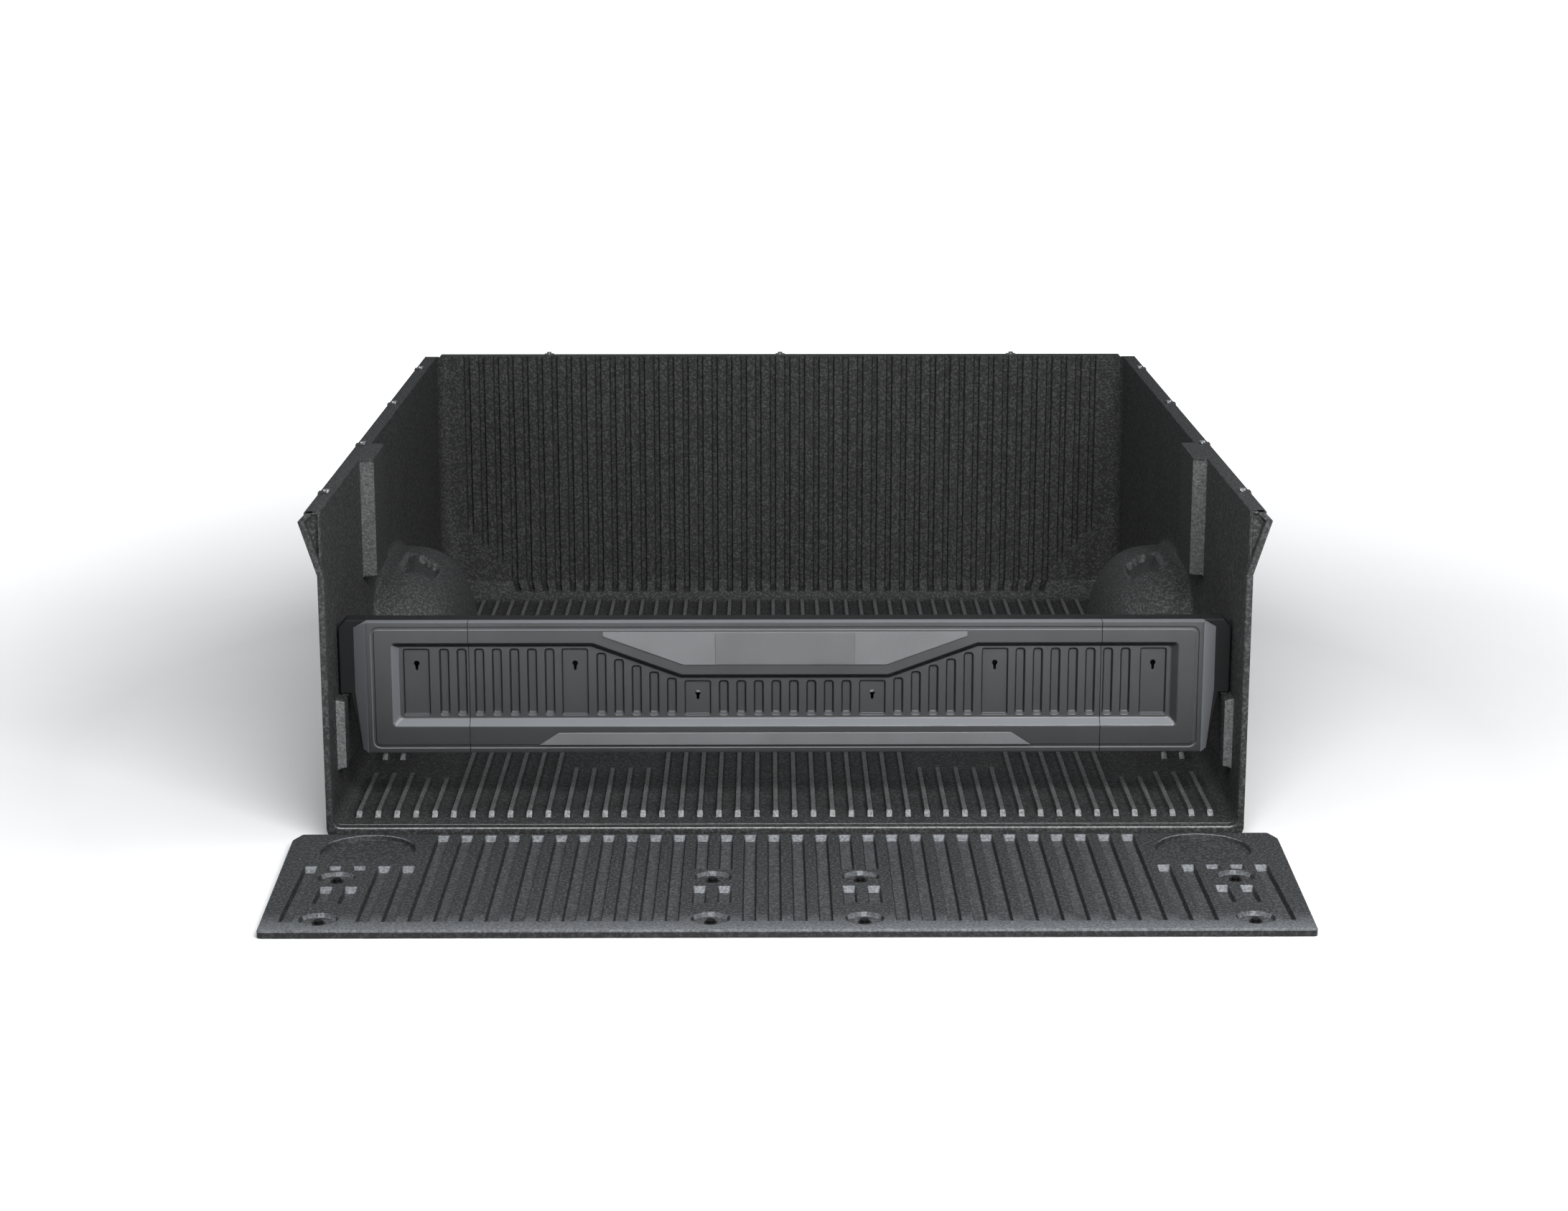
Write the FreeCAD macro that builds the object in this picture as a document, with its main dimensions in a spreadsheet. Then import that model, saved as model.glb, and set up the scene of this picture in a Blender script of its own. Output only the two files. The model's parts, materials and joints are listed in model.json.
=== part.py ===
"""Pickup bed liner set: a formed bed tub, a tailgate liner and a lift-out cross-bed divider.

All sizes are in millimetres. X points right, Y points forward to the cab and Z points up.
Every piece is drawn from the tub's rear edge, at Y = 0, and its Placement then moves it by
rear_edge, so that the origin is the centre of the whole set's footprint on the bed floor.
"""

import FreeCAD, Part
import math
import os

DIMENSIONS = {
    # Placement of the whole set.
    "rear_edge": -639.8,
    # Bed tub: a one-piece formed sheet.
    "bed_half_width": 741.0,
    "floor_length": 1715.0,
    "tub_height": 541.0,
    "sheet": 4.0,
    "flange_width": 20.0,
    "front_flange": 16.0,
    "corner_fill": 30.0,
    "foot_band": 40.0,
    # Floor ribs.
    "rib_pitch": 31.5,
    "rib_foot": 12.0,
    "rib_crest": 8.0,
    "rib_height": 10.0,
    "rib_start": 103.0,
    "rib_stop": 1672.0,
    "rib_end_run": 13.0,
    "gap_side": 347.0,
    "gap_near_side": 316.0,
    "gap_middle": 376.0,
    "restart_side": 442.0,
    "restart_inner": 500.0,
    # Bulkhead grooves, on the same pitch as the ribs.
    "groove_mouth": 15.0,
    "groove_bed": 11.0,
    "groove_depth": 10.0,
    "groove_foot": 24.0,
    "groove_step": 33.0,
    "groove_short": 82.0,
    "back_slot_mouth": 12.5,
    "back_slot_bed": 8.5,
    "land_pocket_in": 698.0,
    "land_pocket_out": 737.0,
    # Rear lip, rim and the flared upper corner.
    "lip_depth": 21.0,
    "lip_height": 21.0,
    "lip_groove_width": 5.0,
    "lip_groove_depth": 4.0,
    "rim_inner": 735.0,
    "rim_outer": 746.0,
    "rim_height": 440.0,
    "flare_reach": 774.0,
    "flare_height": 528.0,
    "flare_return": 757.0,
    # Side wall pilaster and the ledge that carries the divider.
    "post_start": 490.0,
    "post_length": 150.0,
    "post_reach": 24.0,
    "post_bottom": 331.0,
    "ledge_start": 116.0,
    "ledge_length": 576.0,
    "ledge_reach": 14.0,
    "ledge_bottom": 86.0,
    "ledge_top": 202.0,
    "side_draft": 4.0,
    # Wheel wells.
    "well_centre": 860.0,
    "well_half_length": 330.0,
    "well_reach": 160.0,
    "well_height": 298.0,
    "well_clearance": 8.0,
    "well_gap": 25.0,
    # Rail clips and their screws.
    "clip_sheet": 1.6,
    "clip_length": 20.0,
    "clip_depth": 15.0,
    "clip_first": 180.0,
    "clip_spacing": 450.0,
    "front_clip_spacing": 500.0,
    "rail_hole_offset": 12.0,
    "front_hole_offset": 8.0,
    "rail_hole_radius": 3.6,
    "rail_screw_radius": 2.4,
    "rail_head_radius": 5.5,
    "rail_head_height": 4.0,
    "rail_screw_length": 20.0,
    # Tailgate liner.
    "gate_gap": 5.0,
    "gate_length": 462.0,
    "gate_far_half": 796.0,
    "gate_near_half": 781.0,
    "gate_corner": 12.0,
    "gate_corner_run": 30.0,
    "gate_thickness": 13.0,
    "gate_sheet": 3.0,
    "channel_pitch": 38.2,
    "channel_mouth": 21.0,
    "channel_bed": 17.0,
    "channel_depth": 10.0,
    "channel_far": 12.0,
    "channel_near": 430.0,
    "channel_far_run": 10.0,
    "channel_near_run": 2.0,
    "channel_break": 189.0,
    "short_far": 267.0,
    "short_near": 348.0,
    "side_far": 165.0,
    "stub_near": 181.0,
    "gate_slot_mouth": 15.2,
    "gate_slot_bed": 11.2,
    "recess_radius": 29.5,
    "recess_depth": 7.0,
    "recess_inner_x": 114.6,
    "recess_outer_x": 697.0,
    "recess_far": 225.0,
    "recess_near": 417.0,
    "round_recess_radius": 77.0,
    "round_recess_x": 667.0,
    "round_recess_y": 88.0,
    "gate_hole_radius": 3.5,
    "washer_radius": 10.0,
    "washer_height": 1.2,
    "washer_hole_radius": 2.8,
    "gate_head_radius": 6.5,
    "gate_head_height": 3.6,
    "gate_shank_radius": 2.5,
    "gate_screw_rise": 0.5,
    # Cross-bed divider.
    "face_front": 125.0,
    "face_depth": 20.0,
    "face_half": 690.0,
    "face_bottom": 112.0,
    "face_top": 334.0,
    "seam": 522.0,
    "seam_gap": 0.3,
    "bevel_back": 150.0,
    "bevel_half": 713.0,
    "bevel_low_half": 703.0,
    "bevel_knee": 211.0,
    "bevel_top": 320.0,
    "panel_recess_depth": 12.0,
    "panel_recess_half": 643.0,
    "panel_recess_bottom": 163.0,
    "panel_recess_top": 295.0,
    "panel_recess_mid": 241.6,
    "slope_high_x": 317.0,
    "slope_low_x": 170.7,
    "slot_pitch": 29.0,
    "slot_width": 15.0,
    "slot_bottom": 173.0,
    "slot_top": 286.5,
    "slot_low_top": 232.0,
    "slot_depth": 5.0,
    "slot_step": 10.65,
    "slot_first_rise": 236.3,
    "outer_slots_from": 13.4,
    "rising_slots_from": 6.5,
    "centre_slots_from": 0.5,
    "pocket_width": 43.5,
    "pocket_depth": 4.0,
    "pocket_outer_x": 609.0,
    "pocket_middle_x": 347.1,
    "pocket_inner_x": 144.5,
    "keyhole_drop": 26.0,
    "keyhole_inner_drop": 22.0,
    "keyhole_radius": 4.5,
    "keyhole_slot": 4.5,
    "keyhole_length": 12.0,
    "badge_half": 300.0,
    "badge_low_half": 166.8,
    "badge_top": 318.6,
    "badge_shoulder": 310.4,
    "badge_bottom": 262.0,
    "badge_depth": 3.0,
    "name_half": 115.0,
    "name_bottom": 264.4,
    "name_top": 315.7,
    "name_depth": 1.5,
    "trim_half": 407.0,
    "trim_top_half": 374.4,
    "trim_bottom": 125.4,
    "trim_top": 146.7,
    "trim_depth": 3.0,
    "shell_back": 187.0,
    "shell_top": 326.0,
    "shell_wall": 4.0,
    "rail_height": 7.0,
    "tube_half": 640.0,
    "tube_depth": 25.0,
    "tube_height": 40.0,
    "tube_bottom": 205.0,
    "tube_wall": 2.5,
    "splice_half": 40.0,
    "splice_sheet": 3.0,
    "splice_bottom": 130.0,
    "splice_top": 158.0,
    "splice_screw_offset": 25.0,
    "divider_screw_radius": 2.3,
    "divider_hole_radius": 2.6,
    "divider_head_radius": 4.8,
    "divider_head_height": 3.0,
    "thread_depth": 12.0,
    "screw_outer_x": 620.0,
    "screw_middle_x": 340.0,
    "screw_inner_x": 100.0,
    "divider_screw_low": 124.0,
    "divider_screw_high": 314.0,
    "cap_half": 738.0,
    "cap_top": 333.0,
    "cap_corner": 12.0,
    "cap_ledge": 206.0,
    "cap_knee_half": 721.0,
    "cap_low_half": 705.0,
    "pad_in": 725.0,
    "pad_out": 736.5,
    "pad_bottom": 202.6,
    "pad_end_gap": 3.0,
}

# Expression operators that keep a size's value and its sheet formula together.
OPERATORS = {
    "+": lambda a, b: a + b,
    "-": lambda a, b: a - b,
    "*": lambda a, b: a * b,
    "/": lambda a, b: a / b,
}


class Size:
    """A length with its value in millimetres and the sheet formula that gives it."""

    def __init__(self, value, formula):
        self.value = value
        self.formula = formula

    def joined(self, sign, other, swapped=False):
        other = as_size(other)
        first, second = (other, self) if swapped else (self, other)
        value = OPERATORS[sign](first.value, second.value)
        return Size(value, f"({first.formula} {sign} {second.formula})")

    def __add__(self, other):
        return self.joined("+", other)

    def __radd__(self, other):
        return self.joined("+", other, swapped=True)

    def __sub__(self, other):
        return self.joined("-", other)

    def __rsub__(self, other):
        return self.joined("-", other, swapped=True)

    def __mul__(self, other):
        return self.joined("*", other)

    def __rmul__(self, other):
        return self.joined("*", other, swapped=True)

    def __truediv__(self, other):
        return self.joined("/", other)

    def __neg__(self):
        return Size(-self.value, f"(-{self.formula})")

    def root(self):
        return Size(math.sqrt(self.value), f"sqrt({self.formula})")


def as_size(thing):
    if isinstance(thing, Size):
        return thing
    return Size(float(thing), f"({float(thing)})")


class Sizes:
    """The sheet's cells by name, each as a Size."""

    def __getattr__(self, name):
        return Size(DIMENSIONS[name], f"Sizes.{name}")


S = Sizes()
EMBED = 1.0  # how far a fused feature starts inside the sheet it stands on
OVERRUN = 5.0  # how far a cutter runs past the face it leaves through
FEATHER = 0.5  # width that a sloped filling keeps at its thin edge
RIBS_PER_SIDE = 23
SHORT_GROOVES = 3  # bulkhead grooves per side that stop above the wheel well's flank
CENTRE_CHANNELS = 15  # tailgate channels per side that run the liner's whole length
SIDE_CHANNELS = 5
BROKEN_CHANNELS = (2, 3)  # those that the inner screw recesses interrupt
STUB_CHANNELS = (17, 18)  # those that the outer screw recesses interrupt
RECESS_LAND = 3  # the land under the inner screw recesses

doc = FreeCAD.newDocument("bed_liner_set")
pieces = []


def fill_sheet():
    sheet = doc.addObject("Spreadsheet::Sheet", "Sizes")
    for row, (alias, number) in enumerate(DIMENSIONS.items(), start=1):
        sheet.set(f"A{row}", alias)
        sheet.set(f"B{row}", str(number))
        sheet.setAlias(f"B{row}", alias)
    doc.recompute()


def bind(thing, **sizes):
    """Set each property to its size and tie it to the sheet. x, y and z place the object."""
    for name, size in sizes.items():
        size = as_size(size)
        if name in ("x", "y", "z"):
            thing.setExpression(f"Placement.Base.{name}", size.formula)
        else:
            setattr(thing, name, size.value)
            thing.setExpression(name, size.formula)


def box(name, x, y, z):
    """A block between the two limits given for each axis."""
    block = doc.addObject("Part::Box", name)
    bind(block, Length=x[1] - as_size(x[0]), Width=y[1] - as_size(y[0]))
    bind(block, Height=z[1] - as_size(z[0]), x=x[0], y=y[0], z=z[0])
    return block


def frustum(name, axis, span, low, high):
    """A four-sided solid along an axis, from rectangle low at span[0] to high at span[1].

    A rectangle is (least, greatest, least, greatest) in the two other axes, in X, Y, Z order.
    """
    wedge = doc.addObject("Part::Wedge", name)
    low = [as_size(size) for size in low]
    high = [as_size(size) for size in high]
    start, stop = as_size(span[0]), as_size(span[1])
    if axis == "Z":
        low = [low[0], low[1], -low[3], -low[2]]
        high = [high[0], high[1], -high[3], -high[2]]
        wedge.Placement.Rotation = FreeCAD.Rotation(FreeCAD.Vector(1, 0, 0), 90)
    if axis == "X":
        low, high = high, low
        start, stop = -stop, -start
        wedge.Placement.Rotation = FreeCAD.Rotation(FreeCAD.Vector(0, 0, 1), 90)
    bind(wedge, Xmin=low[0], Xmax=low[1], Zmin=low[2], Zmax=low[3])
    bind(wedge, X2min=high[0], X2max=high[1], Z2min=high[2], Z2max=high[3])
    bind(wedge, Ymin=start, Ymax=stop)
    return wedge


def cylinder(name, radius, centre, span, axis="Z"):
    """A round bar along Z or Y; centre is its place in the two other axes."""
    rod = doc.addObject("Part::Cylinder", name)
    bind(rod, Radius=radius, Height=span[1] - as_size(span[0]))
    if axis == "Y":
        rod.Placement.Rotation = FreeCAD.Rotation(FreeCAD.Vector(1, 0, 0), -90)
        bind(rod, x=centre[0], y=span[0], z=centre[1])
    else:
        bind(rod, x=centre[0], y=centre[1], z=span[0])
    return rod


def fuse(name, shapes):
    union = doc.addObject("Part::MultiFuse", name)
    union.Shapes = shapes
    return union


def group(name, shapes):
    compound = doc.addObject("Part::Compound", name)
    compound.Links = shapes
    return compound


def cut(name, base, tool):
    remainder = doc.addObject("Part::Cut", name)
    remainder.Base = base
    remainder.Tool = tool
    return remainder


def common(name, first, second):
    overlap = doc.addObject("Part::Common", name)
    overlap.Base = first
    overlap.Tool = second
    return overlap


def mirrored(name, source):
    """The same thing on the other side of the bed's centre plane."""
    mirror = doc.addObject("Part::Mirroring", name)
    mirror.Source = source
    mirror.Base = FreeCAD.Vector(0, 0, 0)
    mirror.Normal = FreeCAD.Vector(1, 0, 0)
    return mirror


def piece(thing, label):
    """Name a finished sub-part and move it to its place in the set."""
    thing.Label = label
    thing.setExpression("Placement.Base.y", S.rear_edge.formula)
    pieces.append(thing)


# ---------------------------------------------------------------- bed tub


def rib_offset(index):
    """How far the rib at this index, counted from the side wall, is from the centre plane."""
    return (RIBS_PER_SIDE - 0.5 - index) * S.rib_pitch


def rib_spans(index):
    """Where the rib at this index, counted from the side wall, starts and stops along Y."""
    breaks = []
    if index <= 2:
        breaks.append((S.gap_side, S.restart_side if index < 2 else S.restart_inner))
    elif index <= 4:
        breaks.append((S.gap_near_side, S.restart_inner))
    elif 11 <= index <= 15:
        breaks.append((S.gap_middle, S.restart_inner))
    if index <= 3:
        share = (S.bed_half_width - rib_offset(index) + S.well_clearance) / S.well_reach
        half = (1 - share * share).root() * S.well_half_length + S.well_gap
        breaks.append((S.well_centre - half, S.well_centre + half))
    limits = [S.rib_start]
    for stop, restart in breaks:
        limits += [stop, restart]
    limits.append(S.rib_stop)
    return list(zip(limits[0::2], limits[1::2]))


def left_ribs():
    ribs = []
    for index in range(RIBS_PER_SIDE):
        x = -rib_offset(index)
        for start, stop in rib_spans(index):
            foot = (x - S.rib_foot / 2, x + S.rib_foot / 2, start, stop)
            run = S.rib_end_run
            crest = (x - S.rib_crest / 2, x + S.rib_crest / 2, start + run, stop - run)
            rise = (S.sheet - EMBED, S.sheet + S.rib_height)
            ribs.append(frustum("rib", "Z", rise, foot, crest))
    return fuse("left_ribs", ribs)


def left_bulkhead_grooves():
    """Upright grooves in the bulkhead, each in line with a floor rib."""
    grooves = []
    top = S.tub_height + OVERRUN
    depth = (S.floor_length - EMBED, S.floor_length + S.groove_depth)
    for index in range(1, RIBS_PER_SIDE):
        x = -rib_offset(index)
        foot = S.groove_foot
        if index <= SHORT_GROOVES:
            foot = S.groove_short + (SHORT_GROOVES - index) * S.groove_step
        mouth = (x - S.groove_mouth / 2, x + S.groove_mouth / 2, foot, top)
        bed = (x - S.groove_bed / 2, x + S.groove_bed / 2, foot + S.groove_depth, top)
        grooves.append(frustum("groove", "Y", depth, mouth, bed))
    return grooves


def left_back_slots():
    """Hollows behind the bulkhead's lands, which leave the sheet its even thickness."""
    slots = []
    limits = (S.foot_band + S.sheet, S.tub_height + OVERRUN)
    front = S.floor_length + S.sheet
    back = S.floor_length + S.groove_depth + S.sheet + OVERRUN
    for index in range(1, RIBS_PER_SIDE):
        x = S.rib_pitch / 2 - rib_offset(index)
        bed = (x - S.back_slot_bed / 2, x + S.back_slot_bed / 2) + limits
        mouth = (x - S.back_slot_mouth / 2, x + S.back_slot_mouth / 2) + limits
        slots.append(frustum("back_slot", "Y", (front, back), bed, mouth))
    sides = (-S.land_pocket_out, -S.land_pocket_in)
    slots.append(box("land_pocket", sides, (front, back), limits))
    return slots


def side_bulge(name, y, z_low, z_high, reach):
    """A box-like bulge of the left wall and the cutter that hollows it from outside."""
    wall = -S.bed_half_width
    draft = S.side_draft
    foot = (y[0], y[1], z_low - draft, z_high)
    crest = (y[0] + draft, y[1] - draft, z_low, z_high)
    solid = frustum(name, "X", (wall - EMBED, wall + reach), foot, crest)
    sheet = S.sheet
    hollow_foot = (y[0] + sheet, y[1] - sheet, z_low - draft + sheet, z_high - sheet)
    hollow_crest = (y[0] + draft + sheet, y[1] - draft - sheet, z_low + sheet, z_high - sheet)
    span = (wall - sheet - EMBED, wall + reach - sheet)
    hollow = frustum(name + "_hollow", "X", span, hollow_foot, hollow_crest)
    return solid, hollow


def left_well():
    """Half of an egg-shaped wheel well, and the cutter that hollows it."""
    shells = []
    for name, inset in (("well_outside", as_size(0)), ("well_inside", S.sheet)):
        egg = doc.addObject("Part::Ellipsoid", name)
        bind(egg, Radius1=S.well_height - inset, Radius2=S.well_reach - inset)
        bind(egg, Radius3=S.well_half_length - inset)
        bind(egg, x=-S.bed_half_width, y=S.well_centre)
        shells.append(egg)
    reach = (S.well_centre - S.well_half_length, S.well_centre + S.well_half_length)
    width = (-S.bed_half_width - S.sheet / 2, -S.bed_half_width + S.well_reach)
    keep = box("well_limits", width, reach, (S.sheet / 2, S.well_height + OVERRUN))
    return common("well_dome", shells[0], keep), shells[1]


def left_rim():
    """The thick rear edge of the side wall, flared at the top to meet the bed rail."""
    depth = (as_size(0), S.lip_depth)
    band = S.rim_outer - S.rim_inner
    straight = box("rim", (-S.rim_outer, -S.rim_inner), depth, (0, S.rim_height))
    flare_out = frustum(
        "flare_out", "Z", (S.rim_height - EMBED, S.flare_height),
        (-S.rim_outer, -S.rim_inner) + depth,
        (-S.flare_reach, band - S.flare_reach) + depth,
    )
    flare_back = frustum(
        "flare_back", "Z", (S.flare_height, S.tub_height),
        (-S.flare_reach, band - S.flare_reach) + depth,
        (-S.flare_return - band / 2, -S.flare_return + band / 2) + depth,
    )
    cross = (-S.flare_return - band / 2, -S.bed_half_width)
    roof = box("flare_roof", cross, depth, (S.tub_height - S.sheet, S.tub_height))
    return fuse("left_rim", [straight, flare_out, flare_back, roof])


def rail_holes():
    """Places of the screw holes on the left flange and on the front flange."""
    left_x = -S.bed_half_width - S.rail_hole_offset
    left = [(left_x, S.clip_first + step * S.clip_spacing) for step in range(4)]
    front_y = S.floor_length + S.groove_depth + S.sheet + S.front_hole_offset
    front = [(step * S.front_clip_spacing, front_y) for step in (-1, 0, 1)]
    return left, front


def make_tub():
    wall = S.bed_half_width + S.sheet
    back = S.floor_length + S.groove_depth + S.sheet
    height = (as_size(0), S.tub_height)
    block = box("tub_block", (-wall, wall), (0, back), height)
    inside = (-S.bed_half_width, S.bed_half_width)
    cavity = box(
        "tub_cavity", inside, (-OVERRUN, S.floor_length), (S.sheet, S.tub_height + OVERRUN)
    )
    shell = cut("tub_shell", block, cavity)

    post, post_hollow = side_bulge(
        "post", (S.post_start, S.post_start + S.post_length),
        S.post_bottom, S.tub_height, S.post_reach,
    )
    ledge, ledge_hollow = side_bulge(
        "ledge", (S.ledge_start, S.ledge_start + S.ledge_length),
        S.ledge_bottom, S.ledge_top, S.ledge_reach,
    )
    dome, dome_hollow = left_well()
    run = (S.lip_depth, S.floor_length + EMBED)
    fill = frustum(
        "corner_fill", "Z", (S.sheet - EMBED, S.sheet + S.corner_fill),
        (-S.bed_half_width - EMBED, S.corner_fill - S.bed_half_width) + run,
        (-S.bed_half_width - EMBED, FEATHER - S.bed_half_width) + run,
    )
    flange_x = (-S.bed_half_width - S.sheet - S.flange_width, -S.bed_half_width)
    flange = box("side_flange", flange_x, (S.lip_depth, back), (S.tub_height - S.sheet, S.tub_height))
    left = [left_ribs(), post, ledge, dome, fill, left_rim(), flange]
    left_side = fuse("left_side", left)

    lip = box("rear_lip", (-S.rim_outer, S.rim_outer), (0, S.lip_depth), (0, S.lip_height))
    band = frustum(
        "foot_band", "Z", (S.sheet - EMBED, S.sheet + S.foot_band),
        inside + (S.floor_length - S.foot_band, S.floor_length + EMBED),
        inside + (S.floor_length - FEATHER, S.floor_length + EMBED),
    )
    front = box(
        "front_flange", inside, (back - EMBED, back + S.front_flange),
        (S.tub_height - S.sheet, S.tub_height),
    )
    body = fuse(
        "tub_body", [shell, left_side, mirrored("right_side", left_side), lip, band, front]
    )

    middle = S.lip_depth / 2
    lip_groove = box(
        "lip_groove", (-S.rim_inner, S.rim_inner),
        (middle - S.lip_groove_width / 2, middle + S.lip_groove_width / 2),
        (S.lip_height - S.lip_groove_depth, S.lip_height + OVERRUN),
    )
    left_holes, front_holes = rail_holes()
    through = (S.tub_height - S.sheet - OVERRUN, S.tub_height + OVERRUN)
    cutters = left_bulkhead_grooves() + left_back_slots() + [post_hollow, ledge_hollow, dome_hollow]
    cutters += [cylinder("rail_hole", S.rail_hole_radius, at, through) for at in left_holes]
    left_cutters = group("left_cutters", cutters)
    shared = [cylinder("front_hole", S.rail_hole_radius, at, through) for at in front_holes]
    shared.append(lip_groove)
    stage = cut("tub_left_cut", body, left_cutters)
    stage = cut("tub_right_cut", stage, mirrored("right_cutters", left_cutters))
    piece(cut("tub", stage, group("shared_cutters", shared)), "bed_tub")


def rail_clip(name, hole, along_y):
    """A spring clip pushed over the flange's edge, drilled for its screw."""
    x, y = hole
    half = S.clip_length / 2
    top = S.tub_height + S.clip_sheet
    bottom = S.tub_height - S.sheet - S.clip_sheet
    inside = (S.tub_height - S.sheet, S.tub_height)
    if along_y:
        edge = -S.bed_half_width - S.sheet - S.flange_width
        body = box(name, (edge - S.clip_sheet, edge + S.clip_depth), (y - half, y + half), (bottom, top))
        slot_x = (edge, edge + S.clip_depth + OVERRUN)
        slot = box(name + "_slot", slot_x, (y - S.clip_length, y + S.clip_length), inside)
    else:
        edge = S.floor_length + S.groove_depth + S.sheet + S.front_flange
        reach = (edge - S.clip_depth, edge + S.clip_sheet)
        body = box(name, (x - half, x + half), reach, (bottom, top))
        slot_y = (edge - S.clip_depth - OVERRUN, edge)
        slot = box(name + "_slot", (x - S.clip_length, x + S.clip_length), slot_y, inside)
    hole_cutter = cylinder(name + "_hole", S.rail_hole_radius, hole, (bottom - OVERRUN, top + OVERRUN))
    return cut(name + "_clip", body, group(name + "_cutters", [slot, hole_cutter]))


def rail_screw(name, hole):
    top = S.tub_height + S.clip_sheet
    head = cylinder(name + "_head", S.rail_head_radius, hole, (top, top + S.rail_head_height))
    shank = cylinder(name + "_shank", S.rail_screw_radius, hole, (top - S.rail_screw_length, top))
    return fuse(name + "_screw", [head, shank])


def make_rail_fasteners():
    left_holes, front_holes = rail_holes()
    left_clips = group("left_clips", [rail_clip("side", at, True) for at in left_holes])
    left_screws = group("left_screws", [rail_screw("side", at) for at in left_holes])
    piece(mirrored("right_clips", left_clips), "right_rail_clips")
    piece(mirrored("right_screws", left_screws), "right_rail_screws")
    piece(group("left_clip_set", [left_clips]), "left_rail_clips")
    piece(group("left_screw_set", [left_screws]), "left_rail_screws")
    piece(group("front_clips", [rail_clip("front", at, False) for at in front_holes]), "front_rail_clips")
    piece(group("front_screws", [rail_screw("front", at) for at in front_holes]), "front_rail_screws")


# ---------------------------------------------------------------- tailgate liner


def channel(x, far, near):
    """A channel's cutter; far and near are distances behind the tub's rear edge."""
    floor = S.gate_thickness - S.channel_depth
    bed = (x - S.channel_bed / 2, x + S.channel_bed / 2)
    bed += (-near + S.channel_near_run, -far - S.channel_far_run)
    mouth = (x - S.channel_mouth / 2, x + S.channel_mouth / 2, -near, -far)
    return frustum("channel", "Z", (floor, S.gate_thickness), bed, mouth)


def left_channels():
    channels = []
    for index in range(CENTRE_CHANNELS):
        x = -(index + 0.5) * S.channel_pitch
        if index in BROKEN_CHANNELS:
            channels.append(channel(x, S.channel_far, S.channel_break))
            channels.append(channel(x, S.short_far, S.short_near))
        else:
            channels.append(channel(x, S.channel_far, S.channel_near))
    for index in range(CENTRE_CHANNELS, CENTRE_CHANNELS + SIDE_CHANNELS):
        x = -(index + 0.5) * S.channel_pitch
        if index in STUB_CHANNELS:
            channels.append(channel(x, S.side_far, S.stub_near))
            channels.append(channel(x, S.short_far, S.short_near))
        else:
            channels.append(channel(x, S.side_far, S.channel_near))
    return channels


def left_gate_slots():
    """Hollows under the lands between the channels, open below."""
    slots = []
    ends = (-S.channel_near, -S.channel_far - S.channel_far_run)
    for index in range(CENTRE_CHANNELS):
        if index == RECESS_LAND:
            continue
        x = -index * S.channel_pitch
        mouth = (x - S.gate_slot_mouth / 2, x + S.gate_slot_mouth / 2) + ends
        bed = (x - S.gate_slot_bed / 2, x + S.gate_slot_bed / 2) + ends
        span = (as_size(-EMBED), S.gate_thickness - S.gate_sheet)
        slots.append(frustum("gate_slot", "Z", span, mouth, bed))
    return slots


def left_gate_screws():
    rows = (-S.recess_far, -S.recess_near)
    return [(x, y) for x in (-S.recess_inner_x, -S.recess_outer_x) for y in rows]


def make_tailgate_liner():
    near = -S.gate_gap - S.gate_length
    corner = -S.gate_gap - S.gate_corner_run
    top = (as_size(0), S.gate_thickness)
    depth = (near, corner)
    main = frustum(
        "gate_main", "Y", depth,
        (-S.gate_near_half, S.gate_near_half) + top,
        (-S.gate_far_half, S.gate_far_half) + top,
    )
    far_half = S.gate_far_half - S.gate_corner
    tip = frustum(
        "gate_tip", "Y", (corner, -S.gate_gap),
        (-S.gate_far_half, S.gate_far_half) + top,
        (-far_half, far_half) + top,
    )
    slab = fuse("gate_slab", [main, tip])
    above = S.gate_thickness + OVERRUN
    recesses = []
    for at in left_gate_screws():
        floor = S.gate_thickness - S.recess_depth
        recesses.append(cylinder("screw_recess", S.recess_radius, at, (floor, above)))
        recesses.append(cylinder("gate_hole", S.gate_hole_radius, at, (-OVERRUN, above)))
    centre = (-S.round_recess_x, -S.round_recess_y)
    floor = S.gate_thickness - S.recess_depth
    recesses.append(cylinder("round_recess", S.round_recess_radius, centre, (floor, above)))
    cutters = group("left_gate_cutters", left_channels() + left_gate_slots() + recesses)
    half = cut("gate_left_cut", slab, cutters)
    piece(cut("gate", half, mirrored("right_gate_cutters", cutters)), "tailgate_liner")


def make_tailgate_fasteners():
    floor = S.gate_thickness - S.recess_depth
    washer_top = floor + S.washer_height
    washers, screws = [], []
    for at in left_gate_screws():
        disc = cylinder("washer_disc", S.washer_radius, at, (floor, washer_top))
        bore = cylinder("washer_bore", S.washer_hole_radius, at, (floor - EMBED, washer_top + EMBED))
        washers.append(cut("washer", disc, bore))
        head = cylinder("gate_head", S.gate_head_radius, at, (washer_top, washer_top + S.gate_head_height))
        shank = cylinder("gate_shank", S.gate_shank_radius, at, (S.gate_screw_rise, washer_top))
        screws.append(fuse("gate_screw", [head, shank]))
    left_washers = group("left_washers", washers)
    left_screws = group("left_gate_screws", screws)
    both = [left_washers, mirrored("right_washers", left_washers)]
    piece(group("gate_washers", both), "tailgate_washers")
    both = [left_screws, mirrored("right_gate_screws", left_screws)]
    piece(group("gate_screws", both), "tailgate_screws")


# ---------------------------------------------------------------- cross-bed divider


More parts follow.
